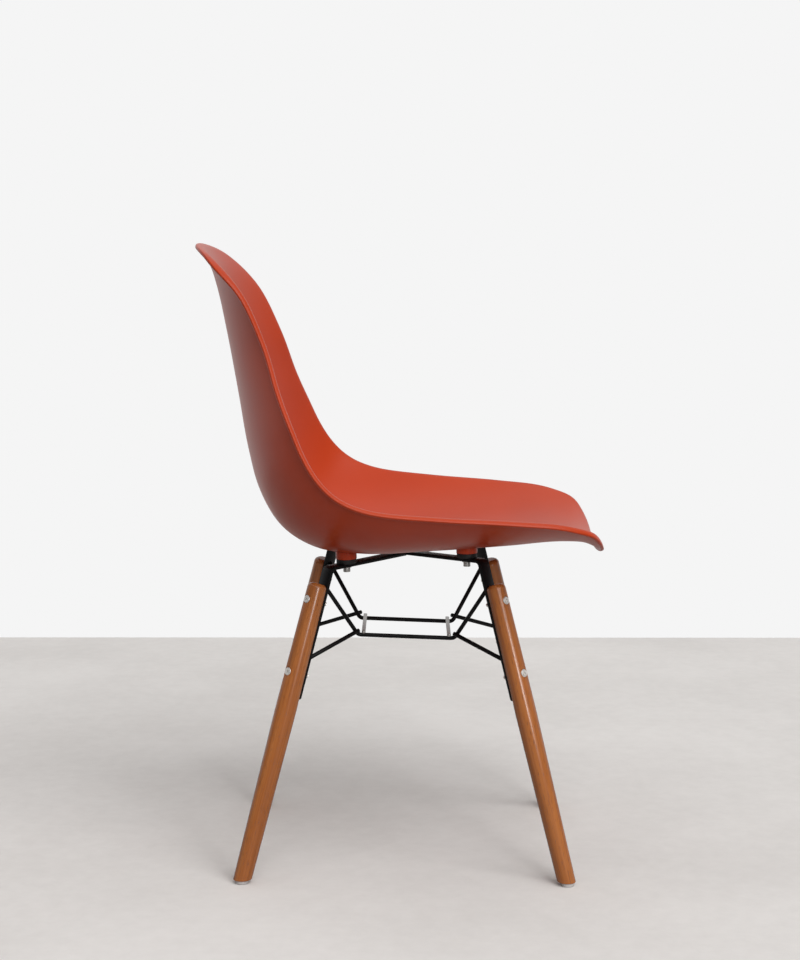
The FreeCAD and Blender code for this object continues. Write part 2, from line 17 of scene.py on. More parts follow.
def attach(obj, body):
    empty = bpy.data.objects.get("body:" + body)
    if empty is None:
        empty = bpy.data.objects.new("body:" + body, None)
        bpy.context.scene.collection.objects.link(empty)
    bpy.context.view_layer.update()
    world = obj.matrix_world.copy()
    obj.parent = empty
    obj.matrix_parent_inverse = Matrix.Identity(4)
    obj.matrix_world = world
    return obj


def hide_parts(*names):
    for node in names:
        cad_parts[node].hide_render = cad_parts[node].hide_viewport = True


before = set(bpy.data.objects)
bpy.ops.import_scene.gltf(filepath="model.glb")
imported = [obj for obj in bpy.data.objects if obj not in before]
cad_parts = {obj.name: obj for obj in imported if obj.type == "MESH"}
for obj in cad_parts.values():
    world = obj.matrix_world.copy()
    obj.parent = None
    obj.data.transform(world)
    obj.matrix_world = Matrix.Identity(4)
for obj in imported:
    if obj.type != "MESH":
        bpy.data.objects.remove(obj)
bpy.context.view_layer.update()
LOG = logging.getLogger("chair")

UP = Vector((0.0, 0.0, 1.0))
# Sizes this close count as equal: the first for exact places, the second for swept ones.
HAIR = 1e-6
TOUCH = 1e-5
# A hexagon's width across its corners over that across its flats.
HEX_CORNERS = 2 / math.sqrt(3)


class Pick(Enum):
    """What a selection is made of."""

    POINTS = "VERT"
    EDGES = "EDGE"
    FACES = "FACE"


class Side(Enum):
    """The sitter's sides, with their sign along X."""

    LEFT = 1
    RIGHT = -1


class End(Enum):
    """Back and front of the chair, with their sign along Y."""

    BACK = 1
    FRONT = -1


@dataclass(frozen=True)
class Corner:
    """One corner of the base."""

    side: Side
    end: End

    @property
    def label(self) -> str:
        """Name of the corner as the frame's nodes write it."""
        return f"{self.end.name.lower()}_{self.side.name.lower()}"

    @property
    def direction(self) -> Vector:
        """Plan direction from the middle of the base to the leg."""
        return Vector((self.side.value * math.sin(BASE.splay), self.end.value * math.cos(BASE.splay), 0.0))


@dataclass(frozen=True)
class BaseLayout:
    """Where the legs, bars and wires lie."""

    centre_y: float = -0.0133
    splay: float = math.radians(41.0)
    foot_radius: float = 0.282
    lean: float = math.radians(18.3)
    leg_d: float = 0.0282
    foot_d: float = 0.0237
    leg_top_d: float = 0.0254
    leg_top_z: float = 0.383
    belly_z: float = 0.218
    plate_seat: float = 0.009
    bar_t: float = 0.0045
    bar_w: float = 0.019
    bar_centre_z: float = 0.4094
    bend_drop: float = 0.0024
    frame_slope: float = 0.053
    bar_end_z: float = 0.233
    seat_fix_inset: float = 0.0291
    spacer_t: float = 0.0062
    bolt_z: tuple[float, float] = (0.3605, 0.2673)
    bolt_head_h: float = 0.0032
    head_sink: float = 0.0002
    glide_h: float = 0.005

    @property
    def plate_offset(self) -> float:
        """Distance from a leg's axis to the middle of the plate on its flat."""
        return self.plate_seat + self.bar_t / 2

    def leg_thickness(self, z: float) -> float:
        """Diameter of a leg where its axis is at a height.

        Args:
            z: the height.

        Returns:
            The diameter.
        """
        if z < self.belly_z:
            return self.foot_d + (self.leg_d - self.foot_d) * max(z, 0.0) / self.belly_z
        return self.leg_d + (self.leg_top_d - self.leg_d) * (z - self.belly_z) / (self.leg_top_z - self.belly_z)

    def head_seat(self, z: float) -> float:
        """Distance from a leg's axis to the underside of a bolt's head."""
        return self.leg_thickness(z) / 2 - self.bolt_head_h - self.head_sink

    def point(self, corner: Corner, radius: float, z: float) -> Vector:
        """Point on the upright plane through one leg."""
        return Vector((0.0, self.centre_y, z)) + corner.direction * radius

    def leg_radius(self, z: float) -> float:
        """Distance of a leg's axis from the middle of the base at a height."""
        return self.foot_radius - math.tan(self.lean) * z

    def leg_point(self, corner: Corner, z: float) -> Vector:
        """Point on a leg's axis at a height."""
        return self.point(corner, self.leg_radius(z), z)

    def leg_up(self, corner: Corner) -> Vector:
        """Unit vector up a leg's axis."""
        return UP * math.cos(self.lean) - corner.direction * math.sin(self.lean)

    def leg_out(self, corner: Corner) -> Vector:
        """Unit vector square to a leg, away from the chair."""
        return corner.direction * math.cos(self.lean) + UP * math.sin(self.lean)

    def plate_line(self, z: float) -> float:
        """Distance from the middle of the base to the middle of a bar's leg plate at a height."""
        drop = self.plate_offset * math.sin(self.lean)
        return self.leg_radius(z + drop) - self.plate_offset * math.cos(self.lean)

    @property
    def bend_run(self) -> float:
        """Distance from the middle of the base to the bends of the bars."""
        return self.plate_line(self.bar_centre_z - self.bend_drop)

    def bend_height(self, end: End) -> float:
        """Height of the bar's middle line at the bend over a back or front leg."""
        slope_drop = self.frame_slope * end.value * self.bend_run * math.cos(self.splay)
        return self.bar_centre_z - self.bend_drop - slope_drop

    def bar_slope(self, end: End) -> float:
        """Rise of the bar per metre outwards over a back or front leg."""
        height = self.bend_height(end)
        return (height - self.bar_centre_z) / self.plate_line(height)

    def bar_up(self, corner: Corner) -> Vector:
        """Unit normal of the bar's upper face near a corner."""
        return (UP - corner.direction * self.bar_slope(corner.end)).normalized()

    def plate_inside(self, corner: Corner, z: float) -> Vector:
        """Point in the middle of a bar's leg plate at a height, where a rod is welded."""
        return self.point(corner, self.plate_line(z), z)

    def seat_fix(self, corner: Corner) -> Vector:
        """Middle of the bar under one seat boss."""
        run = self.bend_run - self.seat_fix_inset
        return self.point(corner, run, self.bar_centre_z + self.bar_slope(corner.end) * run)


BASE = BaseLayout()
CORNERS = [Corner(side, end) for side in Side for end in End]


def stand_on(base: Vector, axis: Vector, across: Vector | None = None) -> Matrix:
    """Placement that puts a piece's origin on a point and its Z on an axis.

    Args:
        base: where the origin goes.
        axis: where local Z points.
        across: a direction that local X follows as nearly as it can.

    Returns:
        The 4x4 placement.
    """
    z = axis.normalized()
    hint = across if across is not None else (Vector((1, 0, 0)) if abs(z.x) < 0.9 else Vector((0, 1, 0)))
    x = (hint - z * hint.dot(z)).normalized()
    y = z.cross(x)
    return Matrix(((x.x, y.x, z.x, base.x), (x.y, y.y, z.y, base.y), (x.z, y.z, z.z, base.z), (0, 0, 0, 1)))


class Workpiece:
    """One mesh on the bench: a primitive that operators shape and modifiers finish."""

    def __init__(self, name: str, add: Callable[..., Any], **sizes: Any) -> None:
        """Add a primitive.

        Args:
            name: the piece's name.
            add: the operator that adds the primitive.
            **sizes: the operator's settings.
        """
        self._object_mode()
        bpy.ops.object.select_all(action="DESELECT")
        add(**sizes)
        self.piece: bpy.types.Object = bpy.context.object
        self.piece.name = name
        self.piece.data.name = name
        bpy.ops.object.transform_apply(location=True, rotation=True, scale=True)

    @staticmethod
    def _object_mode() -> None:
        """Leave edit mode if a piece is being edited."""
        if bpy.context.object is not None and bpy.context.object.mode != "OBJECT":
            bpy.ops.object.mode_set(mode="OBJECT")

    def hold(self) -> None:
        """Make this the only selected piece, in object mode."""
        self._object_mode()
        bpy.ops.object.select_all(action="DESELECT")
        self.piece.select_set(True)
        bpy.context.view_layer.objects.active = self.piece

    def edit(self) -> bmesh.types.BMesh:
        """Open the piece in edit mode.

        Returns:
            Its mesh.
        """
        if self.piece.mode != "EDIT":
            self.hold()
            bpy.ops.object.mode_set(mode="EDIT")
        return bmesh.from_edit_mesh(self.piece.data)

    def pick_all(self) -> None:
        """Select the whole mesh."""
        self.edit()
        bpy.ops.mesh.select_all(action="SELECT")

    def pick(self, kind: Pick, test: Callable[[Any], bool]) -> None:
        """Select the points, edges or faces that pass a test.

        Args:
            kind: what to select.
            test: says whether an element is wanted.
        """
        self.edit()
        bpy.ops.mesh.select_mode(type=kind.value)
        bpy.ops.mesh.select_all(action="DESELECT")
        mesh = self.edit()
        groups = {Pick.POINTS: mesh.verts, Pick.EDGES: mesh.edges, Pick.FACES: mesh.faces}
        for element in [element for element in groups[kind] if test(element)]:
            element.select_set(True)
        mesh.select_flush_mode()
        bmesh.update_edit_mesh(self.piece.data)

    def pick_level(self, kind: Pick, z: float) -> None:
        """Select the points, edges or faces that lie level at a height."""
        self.pick(kind, lambda item: all(abs(v.co.z - z) < HAIR for v in getattr(item, "verts", (item,))))

    def bevel(self, width: float, steps: int) -> None:
        """Round the selected edges."""
        bpy.ops.mesh.bevel(offset=width, segments=steps, profile=0.5)

    def push(self, move: Vector) -> None:
        """Extrude what is selected."""
        bpy.ops.mesh.extrude_region_move(TRANSFORM_OT_translate={"value": tuple(move)})

    def swell(self, factor: tuple[float, float, float], centre: Vector) -> None:
        """Scale what is selected about a point."""
        bpy.ops.transform.resize(value=factor, center_override=tuple(centre))

    def cut_away(self, point: Vector, normal: Vector) -> None:
        """Remove the side of the piece that lies against a plane's normal, and close the cut."""
        self.pick_all()
        bpy.ops.mesh.bisect(plane_co=tuple(point), plane_no=tuple(normal), clear_inner=True, use_fill=True)

    def ring_cut(self, point: Vector, normal: Vector) -> None:
        """Add an edge loop where a plane crosses the piece."""
        self.pick_all()
        bpy.ops.mesh.bisect(plane_co=tuple(point), plane_no=tuple(normal))

    def modify(self, kind: str, **settings: Any) -> None:
        """Add a modifier and apply it.

        Args:
            kind: the modifier's type.
            **settings: its settings.
        """
        self.hold()
        modifier = self.piece.modifiers.new(kind.lower(), kind)
        for key, value in settings.items():
            setattr(modifier, key, value)
        bpy.ops.object.modifier_apply(modifier=modifier.name)

    def soften(self, width: float, steps: int = 2, angle: float = 35.0) -> None:
        """Round every edge that is sharper than an angle."""
        self.modify("BEVEL", width=width, segments=steps, limit_method="ANGLE", angle_limit=math.radians(angle))

    def carve(self, tool: "Workpiece") -> None:
        """Cut another piece's shape out of this one and throw the tool away."""
        self.modify("BOOLEAN", operation="DIFFERENCE", solver="EXACT", object=tool.piece)
        bpy.data.objects.remove(tool.piece, do_unlink=True)

    def place(self, placement: Matrix) -> "Workpiece":
        """Move the piece into place and keep its place in its mesh.

        Args:
            placement: where it goes.

        Returns:
            This piece.
        """
        self.hold()
        self.piece.matrix_world = placement
        bpy.ops.object.transform_apply(location=True, rotation=True, scale=True)
        return self

    def smooth(self, angle: float) -> "Workpiece":
        """Shade smoothly across edges flatter than an angle.

        Args:
            angle: the angle in degrees.

        Returns:
            This piece.
        """
        self.hold()
        bpy.ops.object.shade_smooth_by_angle(angle=math.radians(angle))
        return self

    def twin(self, name: str, placement: Matrix) -> bpy.types.Object:
        """Copy the piece, with a mesh of its own, to a place.

        Args:
            name: the copy's name.
            placement: where it goes.

        Returns:
            The copy.
        """
        self._object_mode()
        copy = self.piece.copy()
        copy.data = self.piece.data.copy()
        copy.name = name
        copy.data.name = name
        copy.data.transform(placement)
        bpy.context.scene.collection.objects.link(copy)
        return copy

    def scrap(self) -> None:
        """Remove a piece that only served as a pattern for copies."""
        self._object_mode()
        bpy.data.objects.remove(self.piece, do_unlink=True)


class Blank(Workpiece):
    """A round or many-sided blank that stands along Z."""

    def __init__(self, name: str, diameter: float, height: float, base: float = 0.0, sides: int = 48) -> None:
        """Stand a cylinder on a height.

        Args:
            name: the piece's name.
            diameter: across its corners.
            height: its length along Z.
            base: where its lower end is.
            sides: how many sides it has.
        """
        super().__init__(name, bpy.ops.mesh.primitive_cylinder_add, vertices=sides, radius=diameter / 2,
                         depth=height, location=(0, 0, base + height / 2))


class Sweep(Workpiece):
    """A rod or flat bar pushed along straight runs and round bends."""

    def __init__(self, name: str, route: Sequence[Vector], radii: Sequence[float], bend_step: float,
                 add: Callable[..., Any], across: Vector | None = None,
                 flatten: tuple[float, float] | None = None, **sizes: Any) -> None:
        """Push a profile along a route.

        Args:
            name: the piece's name.
            route: corner points of the middle line.
            radii: bend radius at each inner corner.
            bend_step: angle of one step round a bend, in degrees.
            add: the operator that adds the profile, lying in its own XY plane.
            across: direction that the profile's X follows.
            flatten: scale of the profile along its X and Y.
            **sizes: the operator's settings.
        """
        super().__init__(name, add, **sizes)
        if flatten is not None:
            self.pick_all()
            self.swell((*flatten, 1.0), Vector())
        self.place(stand_on(route[0], route[1] - route[0], across))
        mesh = self.edit()
        if mesh.faces:
            self.pick_all()
            bpy.ops.mesh.delete(type="ONLY_FACE")
        self.pick_all()
        here = route[0]
        for before, corner, after, radius in zip(route, route[1:], route[2:], radii):
            inward, outward = (before - corner).normalized(), (after - corner).normalized()
            half = inward.angle(outward) / 2
            setback = radius / math.tan(half)
            self.push(corner + inward * setback - here)
            centre = corner + (inward + outward).normalized() * (radius / math.sin(half))
            turn = math.pi - 2 * half
            steps = max(1, round(math.degrees(turn) / bend_step))
            axis = inward.cross(outward).normalized()
            bpy.ops.mesh.spin(steps=steps, angle=turn, center=tuple(centre), axis=tuple(axis))
            here = corner + outward * setback
        self.push(route[-1] - here)
        bpy.ops.mesh.edge_face_add()
        start = route[0]
        reach = max(max(sizes.get("radius", 0.0), sizes.get("size", 0.0)), BASE.bar_w)
        direction = (route[1] - route[0]).normalized()
        self.pick(Pick.EDGES, lambda e: e.is_boundary and all(
            (v.co - start).length < reach and abs((v.co - start).dot(direction)) < TOUCH for v in e.verts))
        bpy.ops.mesh.edge_face_add()
        self.pick_all()
        bpy.ops.mesh.normals_make_consistent(inside=False)


class Signal:
    """A value that flows through a node tree, with arithmetic."""

    def __init__(self, desk: "NodeDesk", socket: bpy.types.NodeSocket) -> None:
        """Wrap a socket of a desk's tree."""
        self.desk = desk
        self.socket = socket

    def _math(self, operation: str, *values: Any) -> "Signal":
        """Add one Math node."""
        return self.desk.node("ShaderNodeMath", {"operation": operation}, dict(enumerate(values)))

    def __add__(self, other: Any) -> "Signal":
        """Sum."""
        return self._math("ADD", self, other)

    __radd__ = __add__

    def __sub__(self, other: Any) -> "Signal":
        """Difference."""
        return self._math("SUBTRACT", self, other)

    def __rsub__(self, other: Any) -> "Signal":
        """Difference from a number."""
        return self._math("SUBTRACT", other, self)

    def __mul__(self, other: Any) -> "Signal":
        """Product."""
        return self._math("MULTIPLY", self, other)

    __rmul__ = __mul__

    def step(self, low: float, high: float) -> "Signal":
        """Ease from 0 at the low value to 1 at the high one."""
        settings = {"interpolation_type": "SMOOTHSTEP"}
        return self.desk.node("ShaderNodeMapRange", settings, {"Value": self, "From Min": low, "From Max": high})


Colour = tuple[float, float, float]


class NodeDesk:
    """Lays out the nodes of one tree."""

    def __init__(self, tree: bpy.types.NodeTree) -> None:
        """Start at a tree."""
        self.tree = tree

    def node(self, kind: str, settings: dict[str, Any], inputs: dict[Any, Any], output: Any = 0) -> Signal:
        """Add a node.

        Args:
            kind: the node's type.
            settings: properties, set first; "stops" sets a colour ramp.
            inputs: values or signals by socket name or number.
            output: the socket to give back.

        Returns:
            The chosen output.
        """
        made = self.tree.nodes.new(kind)
        for key, value in settings.items():
            if key == "stops":
                ramp = made.color_ramp
                while len(ramp.elements) < len(value):
                    ramp.elements.new(0.5)
                for element, (position, colour) in zip(ramp.elements, value):
                    element.position = position
                    element.color = (*colour, 1.0)
            else:
                setattr(made, key, value)
        for key, value in inputs.items():
            self.feed(made.inputs[key], value)
        return Signal(self, made.outputs[output])

    def feed(self, socket: bpy.types.NodeSocket, value: Any) -> None:
        """Set a socket, or link a signal to it.

        Args:
            socket: the input.
            value: a number, a colour or a signal.
        """
        if isinstance(value, Signal):
            self.tree.links.new(value.socket, socket)
        elif isinstance(value, (tuple, list)) and len(value) == 3 and socket.type == "RGBA":
            socket.default_value = (*value, 1.0)
        else:
            socket.default_value = value


class FinishDesk(NodeDesk):
    """Lays out the nodes of one material."""

    def __init__(self, name: str) -> None:
        """Start a material with a Principled shader.

        Args:
            name: the material's name.
        """
        self.material = bpy.data.materials.new(name)
        self.material.use_nodes = True
        super().__init__(self.material.node_tree)
        self.shader = next(n for n in self.tree.nodes if n.type == "BSDF_PRINCIPLED")

    def set(self, **sockets: Any) -> None:
        """Set or link sockets of the shader, named with underscores for spaces."""
        for key, value in sockets.items():
            self.feed(self.shader.inputs[key.replace("_", " ")], value)

    def place(self, at: Sequence[float] = (0, 0, 0), turn: Sequence[float] = (0, 0, 0)) -> Signal:
        """Object coordinates, turned and moved to a point."""
        coords = self.node("ShaderNodeTexCoord", {}, {}, "Object")
        return self.node("ShaderNodeMapping", {}, {"Vector": coords, "Location": tuple(at), "Rotation": tuple(turn)})

    def stretch(self, where: Signal, scale: Sequence[float]) -> Signal:
        """Coordinates scaled along each axis."""
        return self.node("ShaderNodeMapping", {}, {"Vector": where, "Scale": tuple(scale)})

    def noise(self, where: Signal, scale: float = 1.0, detail: float = 2.0, roughness: float = 0.5,
              distortion: float = 0.0) -> Signal:
        """Cloudy noise, about 0.5 in the middle."""
        inputs = {"Vector": where, "Scale": scale, "Detail": detail, "Roughness": roughness,
                  "Distortion": distortion}
        return self.node("ShaderNodeTexNoise", {}, inputs, "Fac")

    def blend(self, share: Any, first: Any, second: Any) -> Signal:
        """Mix two colours."""
        return self.node("ShaderNodeMix", {"data_type": "RGBA"}, {"Factor": share, 6: first, 7: second}, 2)

    def bump(self, height: Signal, strength: float, depth: float) -> Signal:
        """Turn a height into a normal."""
        inputs = {"Strength": strength, "Distance": depth, "Height": height}
        return self.node("ShaderNodeBump", {}, inputs, "Normal")


@dataclass(frozen=True)
class CloudedFinish:
    """Two close tones in soft clouds, over a surface with a fine grain."""

    name: str
    colour: Colour
    second: Colour
    roughness: float
    cloud_scale: float = 260.0
    cloud_detail: float = 3.0
    cloud_harshness: float = 0.5
    cloud_span: tuple[float, float] = (0.35, 0.70)
    cloud_sway: float = 0.15
    grain_scale: float = 2600.0
    grain_detail: float = 1.0
    grain_harshness: float = 0.5
    grain_stretch: tuple[float, float, float] = (1.0, 1.0, 1.0)
    grain_sway: float = 0.0
    relief: float = 0.12
    relief_depth: float = 0.0002
    specular: float = 0.5
    metallic: float = 0.0

    def make(self) -> bpy.types.Material:
        """Build the material.

        Returns:
            The material.
        """
        desk = FinishDesk(self.name)
        where = desk.place()
        cloud = desk.noise(where, self.cloud_scale, self.cloud_detail, self.cloud_harshness)
        fine = desk.stretch(where, self.grain_stretch)
        grain = desk.noise(fine, self.grain_scale, self.grain_detail, self.grain_harshness)
        desk.set(
            Base_Color=desk.blend(cloud.step(*self.cloud_span), self.colour, self.second),
            Metallic=self.metallic,
            Roughness=self.roughness + (grain - 0.5) * self.grain_sway + (cloud - 0.5) * self.cloud_sway,
            Normal=desk.bump(grain, self.relief, self.relief_depth),
            Specular_IOR_Level=self.specular,
        )
        return desk.material


@dataclass(frozen=True)
class MouldedPlastic(CloudedFinish):
    """Matte moulded plastic with a fine, even grain."""

    name: str = "shell_plastic"
    colour: Colour = (0.490, 0.045, 0.007)
    second: Colour = (0.515, 0.049, 0.009)
    roughness: float = 0.33
    cloud_scale: float = 9.0
    cloud_sway: float = 0.05
    grain_scale: float = 1400.0
    grain_detail: float = 2.0
    grain_harshness: float = 0.6
    grain_sway: float = 0.10
    relief: float = 0.10
    specular: float = 0.28


@dataclass(frozen=True)
class StainedWood:
    """Walnut-stained beech with lengthwise streaks and short flecks under satin lacquer."""

    name: str = "stained_wood"
    dark: Colour = (0.290, 0.086, 0.018)
    middle: Colour = (0.390, 0.122, 0.029)
    light: Colour = (0.480, 0.168, 0.046)
    fleck: Colour = (0.190, 0.054, 0.012)
    roughness: float = 0.27
    streak_share: float = 0.72
    tone_span: tuple[float, float] = (0.30, 0.70)
    middle_at: float = 0.42
    fleck_span: tuple[float, float] = (0.60, 0.72)
    fleck_share: float = 0.75
    origin_z: float = 0.2
    leg_shift: float = 1.7
    streak_scale: tuple[float, float, float] = (85.0, 85.0, 3.2)
    pore_scale: tuple[float, float, float] = (620.0, 620.0, 9.0)
    fleck_scale: tuple[float, float, float] = (900.0, 900.0, 95.0)

    def make(self, corner: Corner) -> bpy.types.Material:
        """Build the material for one leg, with its grain along that leg.

        Args:
            corner: the leg's corner.

        Returns:
            The material.
        """
        desk = FinishDesk(f"{self.name}_{corner.label}")
        frame_turn = stand_on(Vector(), BASE.leg_up(corner), corner.direction).inverted()
        origin = frame_turn @ BASE.leg_point(corner, self.origin_z)
        shift = Vector((0, 0, self.leg_shift * CORNERS.index(corner))) - origin
        along = desk.place(shift, frame_turn.to_euler())
        streak = desk.noise(desk.stretch(along, self.streak_scale), detail=4.0, roughness=0.55, distortion=0.6)
        pores = desk.noise(desk.stretch(along, self.pore_scale), detail=3.0, roughness=0.6)
        ticks = desk.noise(desk.stretch(along, self.fleck_scale), detail=1.0).step(*self.fleck_span)
        tone = (streak * self.streak_share + pores * (1 - self.streak_share)).step(*self.tone_span)
        stops = [(0.0, self.dark), (self.middle_at, self.middle), (1.0, self.light)]
        colour = desk.node("ShaderNodeValToRGB", {"stops": stops}, {"Fac": tone}, "Color")
        colour = desk.blend(ticks * self.fleck_share, colour, self.fleck)
        desk.set(
            Base_Color=colour,
            Roughness=self.roughness - tone * 0.04 + ticks * 0.08,
            Normal=desk.bump(pores * 0.6 - ticks * 0.5, 0.12, 0.0002),
            Specular_IOR_Level=0.40,
            Coat_Weight=0.20,
            Coat_Roughness=0.14,
        )
        return desk.material


@dataclass(frozen=True)
class PowderCoat(CloudedFinish):
    """Satin powder coat with a fine orange-peel skin."""

    name: str = "black_powder"
    colour: Colour = (0.0035, 0.0035, 0.0040)
    second: Colour = (0.0065, 0.0065, 0.0070)
    roughness: float = 0.36
    cloud_scale: float = 45.0
    cloud_detail: float = 2.0
    cloud_span: tuple[float, float] = (0.40, 0.75)
    cloud_sway: float = 0.12
    grain_scale: float = 1600.0
    grain_detail: float = 1.5
    relief: float = 0.18
    specular: float = 0.16


@dataclass(frozen=True)
class PlatedSteel(CloudedFinish):
    """Plated steel with a cloudy, faintly brushed surface."""

    cloud_scale: float = 320.0
    cloud_harshness: float = 0.6
    cloud_span: tuple[float, float] = (0.35, 0.75)
    cloud_sway: float = 0.20
    grain_scale: float = 1.0
    grain_detail: float = 2.0
    grain_stretch: tuple[float, float, float] = (400.0, 5000.0, 5000.0)
    relief: float = 0.08
    relief_depth: float = 0.0001
    metallic: float = 1.0


@dataclass(frozen=True)
class SoftPart(CloudedFinish):
    """Rubber or nylon with a faint uneven skin."""


@dataclass(frozen=True)
class Finishes:
    """The finishes that pieces share."""

    plastic: bpy.types.Material
    powder: bpy.types.Material
    zinc: bpy.types.Material
    nickel: bpy.types.Material
    brass: bpy.types.Material
    rubber: bpy.types.Material
    nylon: bpy.types.Material

    @classmethod
    def mix(cls) -> "Finishes":
        """Make every shared material.

        Returns:
            The finishes.
        """
        return cls(
            plastic=MouldedPlastic().make(),
            powder=PowderCoat().make(),
            zinc=PlatedSteel("zinc_plate", (0.50, 0.49, 0.47), (0.36, 0.35, 0.34), 0.42).make(),
            nickel=PlatedSteel("nickel_plate", (0.86, 0.83, 0.79), (0.76, 0.72, 0.68), 0.30, metallic=0.6).make(),
            brass=PlatedSteel("plain_brass", (0.72, 0.53, 0.24), (0.58, 0.42, 0.18), 0.35).make(),
            rubber=SoftPart("black_rubber", (0.004, 0.004, 0.004), (0.008, 0.008, 0.008), 0.62).make(),
            nylon=SoftPart("glide_nylon", (0.70, 0.66, 0.64), (0.62, 0.57, 0.56), 0.45).make(),
        )


def dress(piece: bpy.types.Object, material: bpy.types.Material, slot: str, *nodes: str) -> None:
    """Give a finished piece its material and its place in the frame.

    Args:
        piece: the piece.
        material: its finish.
        slot: a material slot's name; not used.
        *nodes: the frame's nodes that it stands for.
    """
    piece.data.materials.clear()
    piece.data.materials.append(material)
    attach(piece, "root")
    if nodes:
        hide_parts(*nodes)
    LOG.info("%s: %d faces", piece.name, len(piece.data.polygons))


Station = tuple[float, ...]


def along_table(table: Sequence[Station], share: float) -> list[float]:
    """Smooth curve through a table of stations.

    Args:
        table: stations, each a share of the way and its values.
        share: where on the curve.

    Returns:
        The values there.
    """
    last = len(table) - 1
    index = 0
    while index < last - 1 and share >= table[index + 1][0]:
        index += 1
    start, end = table[index], table[index + 1]
    step = end[0] - start[0]
    u = (share - start[0]) / step

    def gap_slope(k: int, column: int) -> float:
        """Slope between two stations."""
        return (table[k + 1][column] - table[k][column]) / (table[k + 1][0] - table[k][0])

    def slope(k: int, column: int) -> float:
        """Slope at a station.

        Args:
            k: the station.
            column: which of its values.

        Returns:
            The slope.
        """
        if k in (0, last):
            return gap_slope(min(k, last - 1), column)
        before, after = table[k][0] - table[k - 1][0], table[k + 1][0] - table[k][0]
        return (gap_slope(k - 1, column) * after + gap_slope(k, column) * before) / (before + after)

    values = []
    for column in range(1, len(start)):
        value = (2 * u**3 - 3 * u**2 + 1) * start[column] + (3 * u**2 - 2 * u**3) * end[column]
        value += (u**3 - 2 * u**2 + u) * slope(index, column) * step
        value += (u**3 - u**2) * slope(index + 1, column) * step
        values.append(value)
    return values


def smooth_step(value: float) -> float:
    """Ease from 0 to 1."""
    value = min(max(value, 0.0), 1.0)
    return value * value * (3 - 2 * value)


@dataclass(frozen=True)
class Lip:
    """A rolled edge: how far it turns, its radius and the straight reach after it."""

    turn: float
    radius: float
    reach: float


